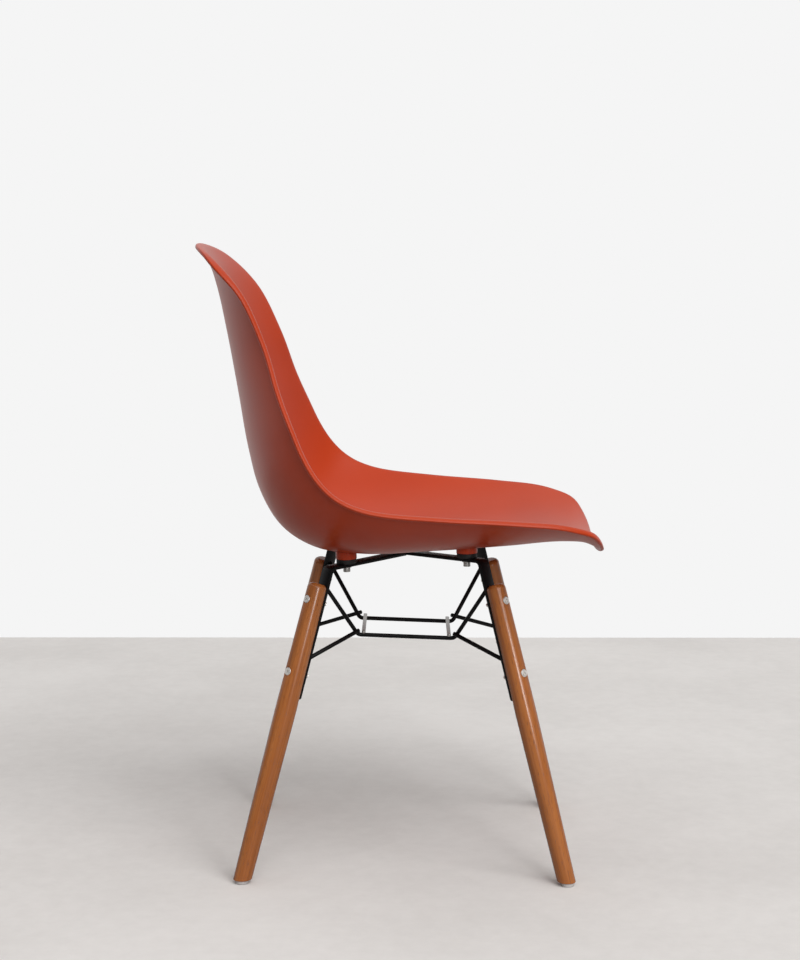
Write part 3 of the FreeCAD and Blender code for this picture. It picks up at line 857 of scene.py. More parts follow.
class SeatShell:
    """The one-piece bucket shell with its rolled lip and the bosses under it."""

    SPINE: tuple[Station, ...] = (
        (0.000, -0.2651, 0.4320), (0.030, -0.2481, 0.4385), (0.060, -0.2251, 0.4395),
        (0.160, -0.1451, 0.4325), (0.280, -0.0461, 0.4250), (0.400, 0.0529, 0.4205),
        (0.470, 0.1089, 0.4280), (0.540, 0.1564, 0.4580), (0.600, 0.1834, 0.5050),
        (0.652, 0.1957, 0.5500), (0.750, 0.2107, 0.6310), (0.850, 0.2261, 0.7120),
        (0.930, 0.2399, 0.7760), (0.965, 0.2474, 0.8010), (1.000, 0.2579, 0.8200),
    )
    RIM: tuple[Station, ...] = (
        (0.000, 0.190, -0.2711, 0.4615), (0.030, 0.198, -0.2541, 0.4745), (0.060, 0.202, -0.2281, 0.4795),
        (0.160, 0.208, -0.1491, 0.4835), (0.280, 0.218, -0.0491, 0.4880), (0.400, 0.228, 0.0389, 0.4980),
        (0.470, 0.231, 0.0729, 0.5120), (0.540, 0.229, 0.0989, 0.5360), (0.600, 0.221, 0.1169, 0.5650),
        (0.652, 0.211, 0.1299, 0.5940), (0.750, 0.188, 0.1499, 0.6430), (0.850, 0.163, 0.1699, 0.7060),
        (0.930, 0.156, 0.1939, 0.7640), (1.000, 0.156, 0.2219, 0.8030),
    )
    DISHING: tuple[Station, ...] = (
        (0.00, 2.4), (0.06, 2.5), (0.28, 2.8), (0.47, 2.7), (0.60, 2.4), (0.75, 2.2), (0.93, 2.2), (1.00, 2.4),
    )
    corner_power: float = 7.0
    wall: float = 0.0048
    side_lip: Lip = Lip(math.radians(88), 0.007, 0.0025)
    top_lip: Lip = Lip(math.radians(38), 0.014, 0.006)
    front_lip: Lip = Lip(math.radians(48), 0.010, 0.003)
    lip_start: float = 0.80
    top_fade: float = 0.30
    front_fade: float = 0.25
    columns: int = 48
    rows: int = 76
    rounding: float = 3.0
    lip_steps: int = 5
    edge_round: float = 0.0013
    boss_d: float = 0.028
    boss_blank: float = 0.010
    boss_rim_share: float = 0.32
    boss_recess: float = 0.0006
    boss_round: float = 0.0009
    boss_bite: float = 0.002

    def sheet_point(self, share: float, across: float) -> Vector:
        """Point of the inner face.

        Args:
            share: 0 at the front to 1 at the top.
            across: -1 to 1 between the side rims.

        Returns:
            The point.
        """
        spine_y, spine_z = along_table(self.SPINE, share)
        half_width, rim_y, rim_z = along_table(self.RIM, share)
        rise = abs(across) ** along_table(self.DISHING, share)[0]
        return Vector((half_width * across, spine_y + (rim_y - spine_y) * rise, spine_z + (rim_z - spine_z) * rise))

    def outline_place(self, turn: float) -> tuple[float, float]:
        """Rounded-rectangle outline on the sheet.

        Args:
            turn: angle round the outline.

        Returns:
            The place across and along, each -1 to 1.
        """
        c, s = math.cos(turn), math.sin(turn)
        power = self.corner_power
        reach = (abs(c) ** power + abs(s) ** power) ** (-1 / power)
        return c * reach, s * reach

    def rim_point(self, turn: float, ring: float = 1.0) -> Vector:
        """Point of the sheet at a turn round the outline."""
        across, along = self.outline_place(turn)
        return self.sheet_point(0.5 + 0.5 * ring * along, ring * across)

    def lip_at(self, turn: float) -> Lip:
        """The lip at a turn round the outline: the sides', blended into the top's and the front's.

        Args:
            turn: angle round the outline.

        Returns:
            The lip.
        """
        across, along = self.outline_place(turn)
        top = smooth_step((along - self.lip_start) / (1 - self.lip_start))
        top *= smooth_step((1 - abs(across)) / self.top_fade)
        front = smooth_step((-along - self.lip_start) / (1 - self.lip_start))
        front *= smooth_step((1 - abs(across)) / self.front_fade)

        def mixed(part: str) -> float:
            """One size of the lip."""
            side = getattr(self.side_lip, part)
            return side + (getattr(self.top_lip, part) - side) * top + (getattr(self.front_lip, part) - side) * front

        return Lip(mixed("turn"), mixed("radius"), mixed("reach"))

    def lip_point(self, turn: float, row: int) -> Vector:
        """Point of the rolled lip at a turn round the outline and a row out from the rim.

        Args:
            turn: angle round the outline.
            row: 1 to lip_steps on the roll, then one more for the straight reach.

        Returns:
            The point.
        """
        step = 1e-3
        rim = self.rim_point(turn)
        across, along = self.outline_place(turn)
        share = 0.5 + 0.5 * along
        low, high = max(share - step, 0.0), min(share + step, 1.0)
        lengthwise = self.sheet_point(high, across) - self.sheet_point(low, across)
        crosswise = self.sheet_point(share, across + step) - self.sheet_point(share, across - step)
        normal = crosswise.cross(lengthwise).normalized()
        round_rim = (self.rim_point(turn + step) - self.rim_point(turn - step)).normalized()
        outward = round_rim.cross(normal)
        if outward.dot(rim - self.rim_point(turn, 1.0 - step)) < 0:
            outward = -outward
        lip = self.lip_at(turn)
        angle = lip.turn * min(row, self.lip_steps) / self.lip_steps
        point = rim + outward * (lip.radius * math.sin(angle)) - normal * (lip.radius * (1 - math.cos(angle)))
        if row > self.lip_steps:
            point += (outward * math.cos(angle) - normal * math.sin(angle)) * lip.reach
        return point

    def shape_sheet(self, work: Workpiece) -> None:
        """Turn a flat square grid into the dished sheet, its corners drawn in to the rounded outline.

        Args:
            work: the grid.
        """
        mesh = work.edit()
        turns = mesh.verts.layers.float.new("turn")
        for vert in mesh.verts:
            a, b = vert.co.x, vert.co.y
            size = max(abs(a), abs(b))
            turn = math.atan2(b, a)
            if size > HAIR:
                edge_a, edge_b = self.outline_place(turn)
                shrink = math.hypot(edge_a, edge_b) / math.hypot(a / size, b / size)
                pull = 1 + (shrink - 1) * size**self.rounding
                a, b = a * pull, b * pull
            vert[turns] = turn
            vert.co = self.sheet_point(0.5 + 0.5 * b, a)
        bmesh.update_edit_mesh(work.piece.data)

    def roll_lip(self, work: Workpiece) -> None:
        """Extrude the rim row by row into the rolled lip.

        Args:
            work: the sheet.
        """
        work.pick(Pick.EDGES, lambda e: e.is_boundary)
        for row in range(1, self.lip_steps + 2):
            work.push(Vector())
            mesh = work.edit()
            turns = mesh.verts.layers.float["turn"]
            for vert in mesh.verts:
                if vert.select:
                    vert.co = self.lip_point(vert[turns], row)
            bmesh.update_edit_mesh(work.piece.data)

    def build_shell(self) -> Workpiece:
        """Make the shell.

        Returns:
            The shell.
        """
        work = Workpiece("seat_shell_moulding", bpy.ops.mesh.primitive_grid_add,
                         x_subdivisions=self.columns, y_subdivisions=self.rows, size=2.0)
        self.shape_sheet(work)
        self.roll_lip(work)
        work.modify("SOLIDIFY", thickness=self.wall, offset=-1.0, use_even_offset=True, use_quality_normals=True)
        work.soften(self.edge_round, steps=2, angle=60.0)
        work.modify("SUBSURF", levels=1, render_levels=1)
        return work.smooth(60.0)

    def build_boss(self, corner: Corner, shell: bpy.types.Object) -> Workpiece:
        """Make one boss, its top buried in the shell's wall.

        Args:
            corner: which boss.
            shell: the shell above it.

        Returns:
            The boss.
        """
        up = BASE.bar_up(corner)
        base = BASE.seat_fix(corner) + up * (BASE.bar_t / 2 + BASE.spacer_t)
        work = Blank(f"seat_boss_{corner.label}", self.boss_d, self.boss_blank, sides=64)
        work.pick_level(Pick.FACES, 0.0)
        bpy.ops.mesh.inset(thickness=self.boss_d * self.boss_rim_share)
        work.push(Vector((0, 0, self.boss_recess)))
        work.place(stand_on(base, up))
        mesh = work.edit()
        for vert in mesh.verts:
            if (vert.co - base).dot(up) > self.boss_blank / 2:
                hit, place, _, _ = shell.ray_cast(vert.co - up * (2 * self.boss_blank), up)
                if hit:
                    vert.co = place + up * self.boss_bite
        bmesh.update_edit_mesh(work.piece.data)
        work.soften(self.boss_round, steps=3, angle=40.0)
        return work.smooth(40.0)

    def build(self, finishes: Finishes) -> None:
        """Make and dress the shell and its bosses.

        Args:
            finishes: the shared finishes.
        """
        shell = self.build_shell()
        dress(shell.piece, finishes.plastic, "shell_plastic", "seat_shell")
        for corner in CORNERS:
            boss = self.build_boss(corner, shell.piece)
            dress(boss.piece, finishes.plastic, "shell_plastic", "seat_shell")


@dataclass
class WoodenLegs:
    """Four turned legs, thickest below the bars' plates, with a flat and counterbored bolt holes."""

    top_round: float = 0.0065
    foot_round: float = 0.0012
    counterbore_d: float = 0.0116
    counterbore_break: float = 0.0003

    def build_leg(self, corner: Corner) -> Workpiece:
        """Turn one leg, cut its foot level and machine its flat and counterbores.

        Args:
            corner: which leg.

        Returns:
            The leg.
        """
        foot_run = BASE.leg_d / math.cos(BASE.lean)
        length = foot_run + BASE.leg_top_z / math.cos(BASE.lean)
        work = Blank(f"leg_{corner.label}_turned", BASE.leg_d, length, sides=72)
        work.ring_cut(Vector((0, 0, foot_run + BASE.belly_z / math.cos(BASE.lean))), UP)
        work.ring_cut(Vector((0, 0, foot_run)), UP)
        slim, top = BASE.foot_d / BASE.leg_d, BASE.leg_top_d / BASE.leg_d
        work.pick(Pick.POINTS, lambda v: v.co.z < foot_run + HAIR)
        work.swell((slim, slim, 1.0), Vector())
        work.pick_level(Pick.POINTS, length)
        work.swell((top, top, 1.0), Vector())
        work.pick_level(Pick.EDGES, length)
        work.bevel(self.top_round, steps=9)
        work.place(stand_on(BASE.leg_point(corner, -BASE.leg_d), BASE.leg_up(corner), corner.direction))
        work.cut_away(Vector((0, 0, BASE.glide_h)), UP)
        work.pick_level(Pick.EDGES, BASE.glide_h)
        work.bevel(self.foot_round, steps=3)
        work.carve(self.flat_tool(corner))
        for z in BASE.bolt_z:
            work.carve(self.counterbore_tool(corner, z))
        work.soften(self.counterbore_break, steps=2, angle=50.0)
        return work.smooth(30.0)

    def flat_tool(self, corner: Corner) -> Workpiece:
        """Block that cuts the flat on which a bar's plate seats.

        Args:
            corner: which leg.

        Returns:
            The block.
        """
        up, out = BASE.leg_up(corner), BASE.leg_out(corner)
        low = BASE.leg_point(corner, BASE.bar_end_z + BASE.plate_offset * math.sin(BASE.lean)) - up * BASE.bar_t
        run = (BASE.leg_top_z - BASE.bar_end_z) / math.cos(BASE.lean) + BASE.leg_d
        middle = low + up * (run / 2) - out * (BASE.leg_d / 2 + BASE.plate_seat)
        tool = Workpiece("flat_tool", bpy.ops.mesh.primitive_cube_add, size=1.0)
        return tool.place(stand_on(middle, up, out) @ Matrix.Diagonal((BASE.leg_d, 2 * BASE.leg_d, run, 1.0)))

    def counterbore_tool(self, corner: Corner, z: float) -> Workpiece:
        """Cylinder that sinks a bolt's head into the leg.

        Args:
            corner: which leg.
            z: height of the bolt's middle on the leg's axis.

        Returns:
            The cylinder.
        """
        out = BASE.leg_out(corner)
        tool = Blank("counterbore_tool", self.counterbore_d, BASE.leg_d)
        return tool.place(stand_on(BASE.leg_point(corner, z) + out * BASE.head_seat(z), out))

    def build(self) -> None:
        """Make and dress the legs."""
        wood = StainedWood()
        for corner in CORNERS:
            leg = self.build_leg(corner)
            dress(leg.piece, wood.make(corner), "stained_wood", f"leg_{corner.label}")


@dataclass
class SteelBase:
    """Crossed flat bars, bent wire bracing and the flat links across the wires."""

    bend_inner: float = 0.005
    centre_bend: float = 0.080
    tip_round: float = 0.003
    edge_round: float = 0.0006
    bar_step: float = 7.0
    rod_step: float = 8.0
    rod_d: float = 0.0056
    rod_round: float = 0.000448
    brace_top_z: float = 0.3795
    brace_reach_x: float = 0.0359
    brace_reach_y: float = 0.0442
    brace_back_z: float = 0.306
    brace_front_z: float = 0.3019
    brace_bend: float = 0.008
    strut_end_z: float = 0.2821
    strut_pass: float = 0.0004
    strut_short: float = 0.008
    link_w: float = 0.005
    link_t: float = 0.003
    link_overhang: float = 0.003
    link_inset: float = 0.0075
    link_round: float = 0.0004
    # Just under half the width, so that the ends come out round.
    link_end_share: float = 0.499
    rod_gap: float = 0.00005

    def build_bar(self, name: str, side: Side) -> Workpiece:
        """Bend one flat bar over two opposite legs and halve it at the crossing.

        Args:
            name: the piece's name.
            side: side of the back leg that it ends on.

        Returns:
            The bar.
        """
        front, back = Corner(Side(-side.value), End.FRONT), Corner(side, End.BACK)
        route = []
        for corner in (front, back):
            height = BASE.bend_height(corner.end)
            pair = [BASE.point(corner, BASE.plate_line(BASE.bar_end_z), BASE.bar_end_z),
                    BASE.point(corner, BASE.plate_line(height), height)]
            route += pair + [Vector((0, BASE.centre_y, BASE.bar_centre_z))] if corner is front else pair[::-1]
        bend = self.bend_inner + BASE.bar_t / 2
        across = back.direction.cross(UP)
        work = Sweep(name, route, [bend, self.centre_bend, bend], self.bar_step,
                     bpy.ops.mesh.primitive_plane_add, across, (BASE.bar_w, BASE.bar_t), size=1.0)

        def tip_corner(edge: bmesh.types.BMEdge) -> bool:
            """Whether an edge is a corner at the lower end of a plate.

            Args:
                edge: the edge.

            Returns:
                True if it is.
            """
            near = any(all((v.co - tip).length < BASE.bar_w for v in edge.verts) for tip in (route[0], route[-1]))
            low = min(v.co.z for v in edge.verts) < BASE.bar_end_z + BASE.bar_t
            thick = abs(edge.calc_length() - BASE.bar_t) < TOUCH
            return near and low and thick and edge.calc_face_angle(0.0) > 1.0

        work.pick(Pick.EDGES, tip_corner)
        work.bevel(self.tip_round, steps=5)
        work.carve(self.notch_tool(side))
        work.soften(self.edge_round)
        return work.smooth(30.0)

    def notch_tool(self, side: Side) -> Workpiece:
        """Block that halves a bar where the other bar crosses it: one from above, the other from below.

        Args:
            side: side of the back leg that the bar ends on.

        Returns:
            The block.
        """
        other = Corner(Side(-side.value), End.BACK).direction
        level = BASE.bar_centre_z + (BASE.bar_w if side is Side.LEFT else -BASE.bar_w)
        tool = Workpiece("notch_tool", bpy.ops.mesh.primitive_cube_add, size=1.0)
        sizes = Matrix.Diagonal((4 * BASE.bar_w, BASE.bar_w, 2 * BASE.bar_w, 1.0))
        return tool.place(stand_on(Vector((0, BASE.centre_y, level)), UP, other) @ sizes)

    def brace_corner(self, corner: Corner) -> Vector:
        """Bend of a brace rod, a set distance in from its upper end on the plate.

        Args:
            corner: which end of which rod.

        Returns:
            The bend's corner point.
        """
        top = BASE.plate_inside(corner, self.brace_top_z)
        z = self.brace_back_z if corner.end is End.BACK else self.brace_front_z
        return Vector((top.x - corner.side.value * self.brace_reach_x,
                       top.y - corner.end.value * self.brace_reach_y, z))

    def link_seat(self, end: End) -> tuple[Vector, Vector]:
        """Seat of a link on both brace rods.

        Args:
            end: which link.

        Returns:
            The middle of its underside and the way up from it.
        """
        here = self.brace_corner(Corner(Side.LEFT, end))
        run = (self.brace_corner(Corner(Side.LEFT, End(-end.value))) - here).normalized()
        lift = run.cross(Vector((end.value, 0, 0)))
        if lift.z < 0:
            lift = -lift
        middle = Vector((0, here.y, here.z)) + run * self.link_inset + lift * (self.rod_d / 2 + self.rod_gap)
        return middle, lift

    def strut_end(self, corner: Corner) -> Vector:
        """Inner end of a strut, which passes outside the brace rod's bend and lies on the link.

        Args:
            corner: which strut.

        Returns:
            The end of its middle line.
        """
        start, bend = BASE.plate_inside(corner, self.strut_end_z), self.brace_corner(corner)
        rise = BASE.plate_inside(corner, self.brace_top_z) - bend
        beside = Vector((rise.y, -rise.x, 0.0)).normalized()
        if beside.x * corner.side.value < 0:
            beside = -beside
        passing = bend + beside * (self.rod_d + self.strut_pass)
        middle, lift = self.link_seat(corner.end)
        top = middle + lift * self.link_t
        x = start.x + (passing.x - start.x) * (top.y - start.y) / (passing.y - start.y)
        z = top.z + self.rod_d / 2
        # The height follows from the climb and the climb from the height, so a few rounds settle them.
        for _ in range(3):
            climb = (z - start.z) / abs(top.y - start.y)
            z = top.z + self.rod_d / 2 * math.hypot(1, climb) + climb * self.link_w / 2 + self.rod_gap
        return Vector((x, top.y, z))

    def rod(self, name: str, route: Sequence[Vector], radii: Sequence[float]) -> Workpiece:
        """Bend one round rod.

        Args:
            name: the piece's name.
            route: corner points of the middle line.
            radii: bend radius at each inner corner.

        Returns:
            The rod.
        """
        work = Sweep(name, route, radii, self.rod_step, bpy.ops.mesh.primitive_circle_add,
                     vertices=20, radius=self.rod_d / 2)
        work.soften(self.rod_round, steps=2, angle=60.0)
        return work.smooth(45.0)

    def build_brace(self, side: Side) -> Workpiece:
        """Bend the long rod of one side, from the top of one plate to the top of the other.

        Args:
            side: which side.

        Returns:
            The rod.
        """
        back, front = Corner(side, End.BACK), Corner(side, End.FRONT)
        route = [BASE.plate_inside(back, self.brace_top_z), self.brace_corner(back), self.brace_corner(front),
                 BASE.plate_inside(front, self.brace_top_z)]
        return self.rod(f"brace_rod_{side.name.lower()}_wire", route, [self.brace_bend] * 2)

    def build_strut(self, corner: Corner) -> Workpiece:
        """Cut the short straight rod from the lower part of a plate past the brace rod's bend towards a link.

        Args:
            corner: which strut.

        Returns:
            The strut.
        """
        start, tip = BASE.plate_inside(corner, self.strut_end_z), self.strut_end(corner)
        tip -= (tip - start).normalized() * self.strut_short
        return self.rod(f"strut_{corner.label}_wire", [start, tip], [])

    def build_link(self, end: End) -> Workpiece:
        """Cut the flat strip that lies across both brace rods.

        Args:
            end: which link.

        Returns:
            The link.
        """
        middle, lift = self.link_seat(end)
        length = 2 * (self.strut_end(Corner(Side.LEFT, end)).x + self.link_overhang)
        work = Workpiece(f"brace_link_{end.name.lower()}_strip", bpy.ops.mesh.primitive_cube_add, size=1.0)
        work.place(Matrix.Diagonal((length, self.link_w, self.link_t, 1.0)))
        work.pick(Pick.EDGES, lambda e: abs(e.calc_length() - self.link_t) < HAIR)
        work.bevel(self.link_w * self.link_end_share, steps=8)
        work.soften(self.link_round, steps=2, angle=60.0)
        work.place(stand_on(middle + lift * (self.link_t / 2), lift, Vector((1, 0, 0))))
        return work.smooth(40.0)

    def build(self, finishes: Finishes) -> None:
        """Make and dress the bars, rods and links.

        Args:
            finishes: the shared finishes.
        """
        for letter, side in (("a", Side.LEFT), ("b", Side.RIGHT)):
            bar = self.build_bar(f"cross_bar_{letter}_strip", side)
            dress(bar.piece, finishes.powder, "black_frame", f"cross_bar_{letter}")
        for side in Side:
            brace = self.build_brace(side)
            dress(brace.piece, finishes.powder, "black_frame", f"brace_rod_{side.name.lower()}")
        for corner in CORNERS:
            strut = self.build_strut(corner)
            dress(strut.piece, finishes.powder, "black_frame", f"strut_{corner.label}")
        for end in End:
            link = self.build_link(end)
            dress(link.piece, finishes.zinc, "zinc_steel", f"brace_link_{end.name.lower()}")


@dataclass
class Fixings:
    """Bolts, nuts, washers, seat screws and spacers."""

    bolt_d: float = 0.005
    head_d: float = 0.0108
    head_round_share: float = 0.25
    key: float = 0.0032
    key_depth_share: float = 0.65
    nut_flats: float = 0.008
    nut_h: float = 0.004
    nut_chamfer: float = 0.0006
    washer_d: float = 0.010
    washer_t: float = 0.001
    bolt_end: float = 0.003
    thread_pitch: float = 0.0008
    thread_root: float = 0.82
    groove_share: float = 0.35
    edge_break: float = 0.0002
    screw_d: float = 0.006
    screw_head_d: float = 0.0095
    screw_head_h: float = 0.006
    screw_key: float = 0.005
    screw_key_depth: float = 0.003
    screw_round: float = 0.0004
    insert_h: float = 0.008
    seat_washer_d: float = 0.013
    seat_washer_t: float = 0.0015
    spacer_d: float = 0.027
    spacer_round: float = 0.0006
    screw_clearance: float = 0.0003

    def hex_tool(self, flats: float, depth: float, top: float) -> Workpiece:
        """Six-sided block that cuts a key socket down from a height."""
        return Blank("key_tool", flats * HEX_CORNERS, depth, top - depth + HAIR, 6)

    def leg_bolt(self, z: float) -> Workpiece:
        """Bolt with a domed socket head. The head seats at Z 0 and the shank goes down.

        Args:
            z: height of the bolt's middle on the leg's axis.

        Returns:
            The bolt.
        """
        head_h = BASE.bolt_head_h
        work = Blank("leg_bolt_pattern", self.head_d, head_h)
        work.pick_level(Pick.EDGES, head_h)
        work.bevel(head_h * self.head_round_share, steps=4)
        work.pick_level(Pick.FACES, 0.0)
        bpy.ops.mesh.inset(thickness=(self.head_d - self.bolt_d) / 2)
        plain = BASE.head_seat(z) + BASE.plate_offset + BASE.bar_t / 2 + self.washer_t
        work.push(Vector((0, 0, -plain)))
        self.thread(work, plain, self.nut_h + self.bolt_end)
        work.carve(self.hex_tool(self.key, head_h * self.key_depth_share, head_h))
        work.soften(self.edge_break, steps=2, angle=50.0)
        return work.smooth(35.0)

    def thread(self, work: Workpiece, start: float, length: float) -> None:
        """Cut thread grooves on the end of a shank whose end face is selected.

        Args:
            work: the bolt.
            start: depth of the shank's end below the head.
            length: threaded length to add.
        """
        depth = start
        for _ in range(round(length / self.thread_pitch)):
            for share, size in ((self.groove_share, self.thread_root),
                                (1 - self.groove_share, 1 / self.thread_root)):
                step = self.thread_pitch * share
                depth += step
                work.push(Vector((0, 0, -step)))
                work.swell((size, size, 1.0), Vector((0, 0, -depth)))

    def ring(self, name: str, outer: float, inner: float, height: float, rounding: float) -> Workpiece:
        """Washer or spacer that stands on Z 0.

        Args:
            name: the piece's name.
            outer: its diameter.
            inner: its bore's diameter.
            height: its height.
            rounding: radius of its edges.

        Returns:
            The ring.
        """
        work = Blank(name, outer, height)
        work.carve(Blank("bore_tool", inner, 1.0, -0.5))
        work.soften(rounding, steps=3, angle=50.0)
        return work.smooth(40.0)

    def nut(self) -> Workpiece:
        """Hexagonal nut that stands on Z 0, its corners chamfered top and bottom.

        Returns:
            The nut.
        """
        work = Blank("nut_pattern", self.nut_flats * HEX_CORNERS, self.nut_h, sides=6)
        work.carve(Blank("bore_tool", self.bolt_d, 1.0, -0.5, 32))
        work.soften(self.nut_chamfer, steps=2, angle=40.0)
        return work.smooth(30.0)

    def seat_screw(self) -> Workpiece:
        """Screw whose cylindrical socket head hangs below Z 0 and whose shank goes up.

        Returns:
            The screw.
        """
        work = Blank("seat_screw_pattern", self.screw_head_d, self.screw_head_h, -self.screw_head_h)
        work.pick_level(Pick.FACES, 0.0)
        bpy.ops.mesh.inset(thickness=(self.screw_head_d - self.screw_d) / 2)
        work.push(Vector((0, 0, self.seat_washer_t + BASE.bar_t + BASE.spacer_t + self.insert_h)))
        work.carve(self.hex_tool(self.screw_key, self.screw_key_depth, self.screw_key_depth - self.screw_head_h))
        work.soften(self.screw_round, steps=2, angle=50.0)
        return work.smooth(35.0)

    def build_leg_fixings(self, finishes: Finishes) -> None:
        """Make and dress the bolts, nuts and washers of the legs.

        Args:
            finishes: the shared finishes.
        """
        nut = self.nut()
        washer = self.ring("nut_washer_pattern", self.washer_d, self.bolt_d + 2 * self.screw_clearance,
                           self.washer_t, self.edge_break)
        for level, z in zip(("upper", "lower"), BASE.bolt_z):
            bolt = self.leg_bolt(z)
            for corner in CORNERS:
                label, out = f"{corner.label}_{level}", BASE.leg_out(corner)
                axis_point = BASE.leg_point(corner, z)
                inner = axis_point - out * (BASE.plate_offset + BASE.bar_t / 2)
                dress(bolt.twin(f"leg_bolt_{label}", stand_on(axis_point + out * BASE.head_seat(z), out)),
                      finishes.nickel, "bolt_steel", "leg_bolts")
                for pattern, name, node, drop in ((washer, "nut_washer", "leg_nut_washers", 0.0),
                                                  (nut, "leg_nut", "leg_nuts", self.washer_t)):
                    dress(pattern.twin(f"{name}_{label}", stand_on(inner - out * drop, -out)),
                          finishes.zinc, "zinc_steel", node)
            bolt.scrap()
        for pattern in (nut, washer):
            pattern.scrap()

    def build_seat_fixings(self, finishes: Finishes) -> None:
        """Make and dress the spacers, washers and screws under the seat.

        Args:
            finishes: the shared finishes.
        """
        hole = self.screw_d + 2 * self.screw_clearance
        spacer = self.ring("spacer_pattern", self.spacer_d, hole, BASE.spacer_t, self.spacer_round)
        washer = self.ring("seat_washer_pattern", self.seat_washer_d, hole, self.seat_washer_t, self.edge_break)
        screw = self.seat_screw()
        for corner in CORNERS:
            up = BASE.bar_up(corner)
            top = BASE.seat_fix(corner) + up * (BASE.bar_t / 2)
            under = BASE.seat_fix(corner) - up * (BASE.bar_t / 2 + self.seat_washer_t)
            dress(spacer.twin(f"mount_spacer_{corner.label}", stand_on(top, up)),
                  finishes.rubber, "black_rubber", "mount_spacers")
            for pattern, name, node in ((washer, "seat_washer", "seat_washers"), (screw, "seat_screw", "seat_screws")):
                dress(pattern.twin(f"{name}_{corner.label}", stand_on(under, up)), finishes.zinc, "zinc_steel", node)
        for pattern in (spacer, washer, screw):
            pattern.scrap()

    def build(self, finishes: Finishes) -> None:
        """Make and dress every fixing."""
        self.build_leg_fixings(finishes)
        self.build_seat_fixings(finishes)


@dataclass
class Glides:
    """Round glides under the legs, each with a recess for its pin."""

    diameter: float = 0.017
    chamfer: float = 0.0012
    recess_d: float = 0.0082
    recess_h: float = 0.0027
    edge_break: float = 0.0002

    def build(self, finishes: Finishes) -> None:
        """Make and dress the glides.

        Args:
            finishes: the shared finishes.
        """
        for corner in CORNERS:
            work = Blank(f"glide_{corner.label}_disc", self.diameter, BASE.glide_h)
            work.pick_level(Pick.EDGES, 0.0)
            work.bevel(self.chamfer, steps=3)
            work.pick_level(Pick.FACES, 0.0)
            bpy.ops.mesh.inset(thickness=self.diameter / 2 - self.chamfer - self.recess_d / 2)
            work.push(Vector((0, 0, self.recess_h)))
            work.soften(self.edge_break, steps=2, angle=50.0)
            work.place(Matrix.Translation(BASE.leg_point(corner, 0.0)))
            work.smooth(35.0)
            dress(work.piece, finishes.nylon, "glide_plastic", f"glide_{corner.label}")


def dress_inner_nodes(finishes: Finishes) -> None:
    """Give the frame's nodes that stay in view their materials.

    Args:
        finishes: the shared finishes.
    """
    for node, material in (("boss_inserts", finishes.brass), ("glide_pins", finishes.zinc)):
        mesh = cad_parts[node].data
        mesh.materials.clear()
        mesh.materials.append(material)
        LOG.info("%s: kept from the frame", node)


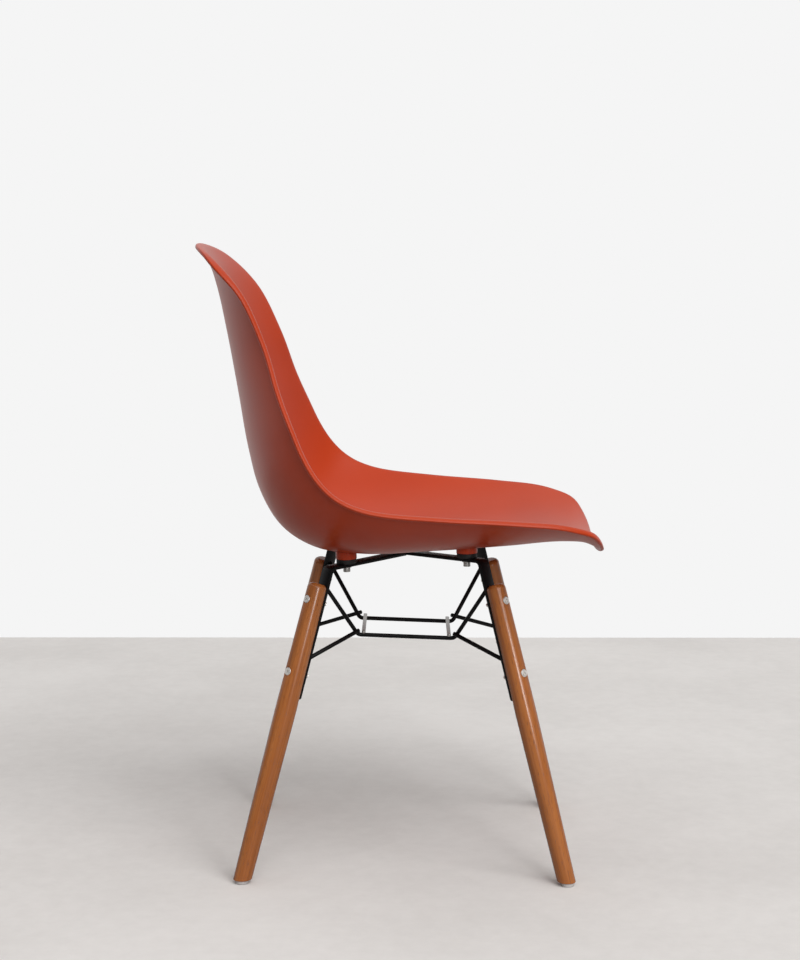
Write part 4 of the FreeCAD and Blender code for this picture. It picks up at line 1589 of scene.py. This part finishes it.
@dataclass
class Studio:
    """Pale floor, pale surround and soft lights."""

    floor_edge: float = 1.424
    floor_turn: float = math.radians(2.0)
    floor_reach: float = 9.0
    surround: float = 0.913
    ambient: float = 0.20
    mirrored: float = 0.75
    camera_side: float = 0.12
    floor_dark: Colour = (0.735, 0.705, 0.680)
    floor_pale: Colour = (0.850, 0.820, 0.795)
    floor_bounce: float = 0.40
    floor_mirrored: float = 0.4
    backdrop_edge: tuple[float, float] = (-0.2, 0.6)

    def floor_material(self) -> bpy.types.Material:
        """Build pale concrete with faint broad mottling.

        Returns:
            The material.
        """
        desk = FinishDesk("pale_floor")
        where = desk.place()
        cloud = desk.noise(where, scale=2.2, detail=6.0, roughness=0.6)
        fine = desk.noise(where, scale=38.0, detail=5.0, roughness=0.65)
        tone = (cloud * 0.7 + fine * 0.3).step(0.25, 0.75)
        seen = desk.node("ShaderNodeLightPath", {}, {}, "Is Camera Ray")
        mirrored = desk.node("ShaderNodeLightPath", {}, {}, "Is Glossy Ray")
        muted = tuple(value * self.floor_bounce for value in self.floor_dark)
        desk.set(
            Base_Color=desk.blend(seen + mirrored * self.floor_mirrored, muted,
                                  desk.blend(tone, self.floor_dark, self.floor_pale)),
            Roughness=0.75,
            Normal=desk.bump(fine, 0.05, 0.002),
            Specular_IOR_Level=0.25,
        )
        return desk.material

    def build_floor(self) -> None:
        """Lay the floor up to the line where the surround starts."""
        work = Workpiece("floor", bpy.ops.mesh.primitive_grid_add, x_subdivisions=8, y_subdivisions=8, size=1.0)
        work.place(Matrix.Translation((self.floor_edge, 0, 0)) @ Matrix.Rotation(self.floor_turn, 4, "Z")
                   @ Matrix.Translation((-self.floor_reach / 2, 0, 0))
                   @ Matrix.Diagonal((self.floor_reach, 2 * self.floor_reach, 1.0, 1.0)))
        work.piece.data.materials.append(self.floor_material())

    def build_surround(self) -> None:
        """Set a white surround behind the chair that the camera and reflections see, and softer light from it."""
        world = bpy.data.worlds.new("surround")
        bpy.context.scene.world = world
        world.use_nodes = True
        desk = NodeDesk(world.node_tree)
        where = desk.node("ShaderNodeTexCoord", {}, {}, "Generated")
        facing = desk.node("ShaderNodeSeparateXYZ", {}, {0: where}, "X").step(*self.backdrop_edge)
        backdrop = self.camera_side + facing * (self.mirrored - self.camera_side)
        strength: Any = self.ambient
        for ray, level in (("Is Glossy Ray", backdrop), ("Is Camera Ray", self.surround)):
            seen = desk.node("ShaderNodeLightPath", {}, {}, ray)
            strength = desk.node("ShaderNodeMix", {"data_type": "FLOAT"}, {"Factor": seen, 2: strength, 3: level})
        back = desk.tree.nodes["Background"].inputs
        desk.feed(back["Color"], (1.0, 1.0, 1.0))
        desk.feed(back["Strength"], strength)

    def hang(self, light: bpy.types.Light, power: float, aim: Vector, place: Sequence[float] = (0, 0, 0)) -> None:
        """Hang a light.

        Args:
            light: the light.
            power: its strength.
            aim: the direction in which it shines.
            place: where it hangs.
        """
        light.energy = power
        lamp = bpy.data.objects.new(light.name, light)
        bpy.context.scene.collection.objects.link(lamp)
        lamp.location = place
        lamp.rotation_euler = aim.to_track_quat("-Z", "Y").to_euler()

    def sun(self, name: str, towards: Sequence[float], width: float, power: float) -> None:
        """Hang one distant light.

        Args:
            name: the light's name.
            towards: direction from the chair to the light.
            width: its apparent width in degrees.
            power: its strength in watts per square metre.
        """
        light = bpy.data.lights.new(name, "SUN")
        light.angle = math.radians(width)
        self.hang(light, power, -Vector(towards))

    def lamp(self, name: str, place: Sequence[float], aim: Sequence[float], size: float, power: float) -> None:
        """Hang one soft square light.

        Args:
            name: the lamp's name.
            place: where it hangs.
            aim: the point it faces.
            size: its side.
            power: its power in watts.
        """
        light = bpy.data.lights.new(name, "AREA")
        light.shape = "SQUARE"
        light.size = size
        self.hang(light, power, Vector(aim) - Vector(place), place)

    def build(self) -> None:
        """Make the floor, the surround and the lights."""
        self.build_floor()
        self.build_surround()
        self.sun("key_light", (-0.63, -0.36, 0.69), 55.0, 1.7)
        self.sun("top_light", (-0.15, 0.0, 1.0), 90.0, 0.85)
        self.lamp("low_softbox", (-2.8, -1.2, 1.1), (0.0, 0.0, 0.4), 0.5, 15.0)
        bpy.context.scene.view_settings.view_transform = "Standard"


@dataclass(frozen=True)
class PhotoCamera:
    """The camera that took the photograph."""

    place: tuple[float, float, float] = (-2.8, -0.0101, 0.8607)
    horizon_px: float = 260.0
    yaw: float = math.radians(0.1374)
    roll: float = math.radians(0.40)
    focal_px: float = 2069.0
    picture_h: float = 960.0
    sensor: float = 36.0

    def build(self) -> None:
        """Set up the camera."""
        tilt = math.atan(self.horizon_px / self.focal_px)
        look = Vector((math.cos(tilt) * math.cos(self.yaw), math.cos(tilt) * math.sin(self.yaw), -math.sin(tilt)))
        right = Vector((math.sin(self.yaw), -math.cos(self.yaw), 0.0))
        up = right.cross(look)
        turned_right = right * math.cos(self.roll) + up * math.sin(self.roll)
        turned_up = up * math.cos(self.roll) - right * math.sin(self.roll)
        data = bpy.data.cameras.new("photo_camera")
        data.sensor_width = self.sensor
        data.lens = self.sensor * self.focal_px / self.picture_h
        camera = bpy.data.objects.new("photo_camera", data)
        bpy.context.scene.collection.objects.link(camera)
        axes = (turned_right, turned_up, -look)
        camera.matrix_world = Matrix([[a[row] for a in axes] + [self.place[row]] for row in range(3)] + [[0, 0, 0, 1]])
        bpy.context.scene.camera = camera


def main() -> None:
    """Build the chair, its finishes, the camera and the studio."""
    logging.basicConfig(level=logging.INFO, format="%(name)s: %(message)s")
    PhotoCamera().build()
    finishes = Finishes.mix()
    SeatShell().build(finishes)
    WoodenLegs().build()
    SteelBase().build(finishes)
    Fixings().build(finishes)
    Glides().build(finishes)
    dress_inner_nodes(finishes)
    Studio().build()


if __name__ == "__main__":
    main()
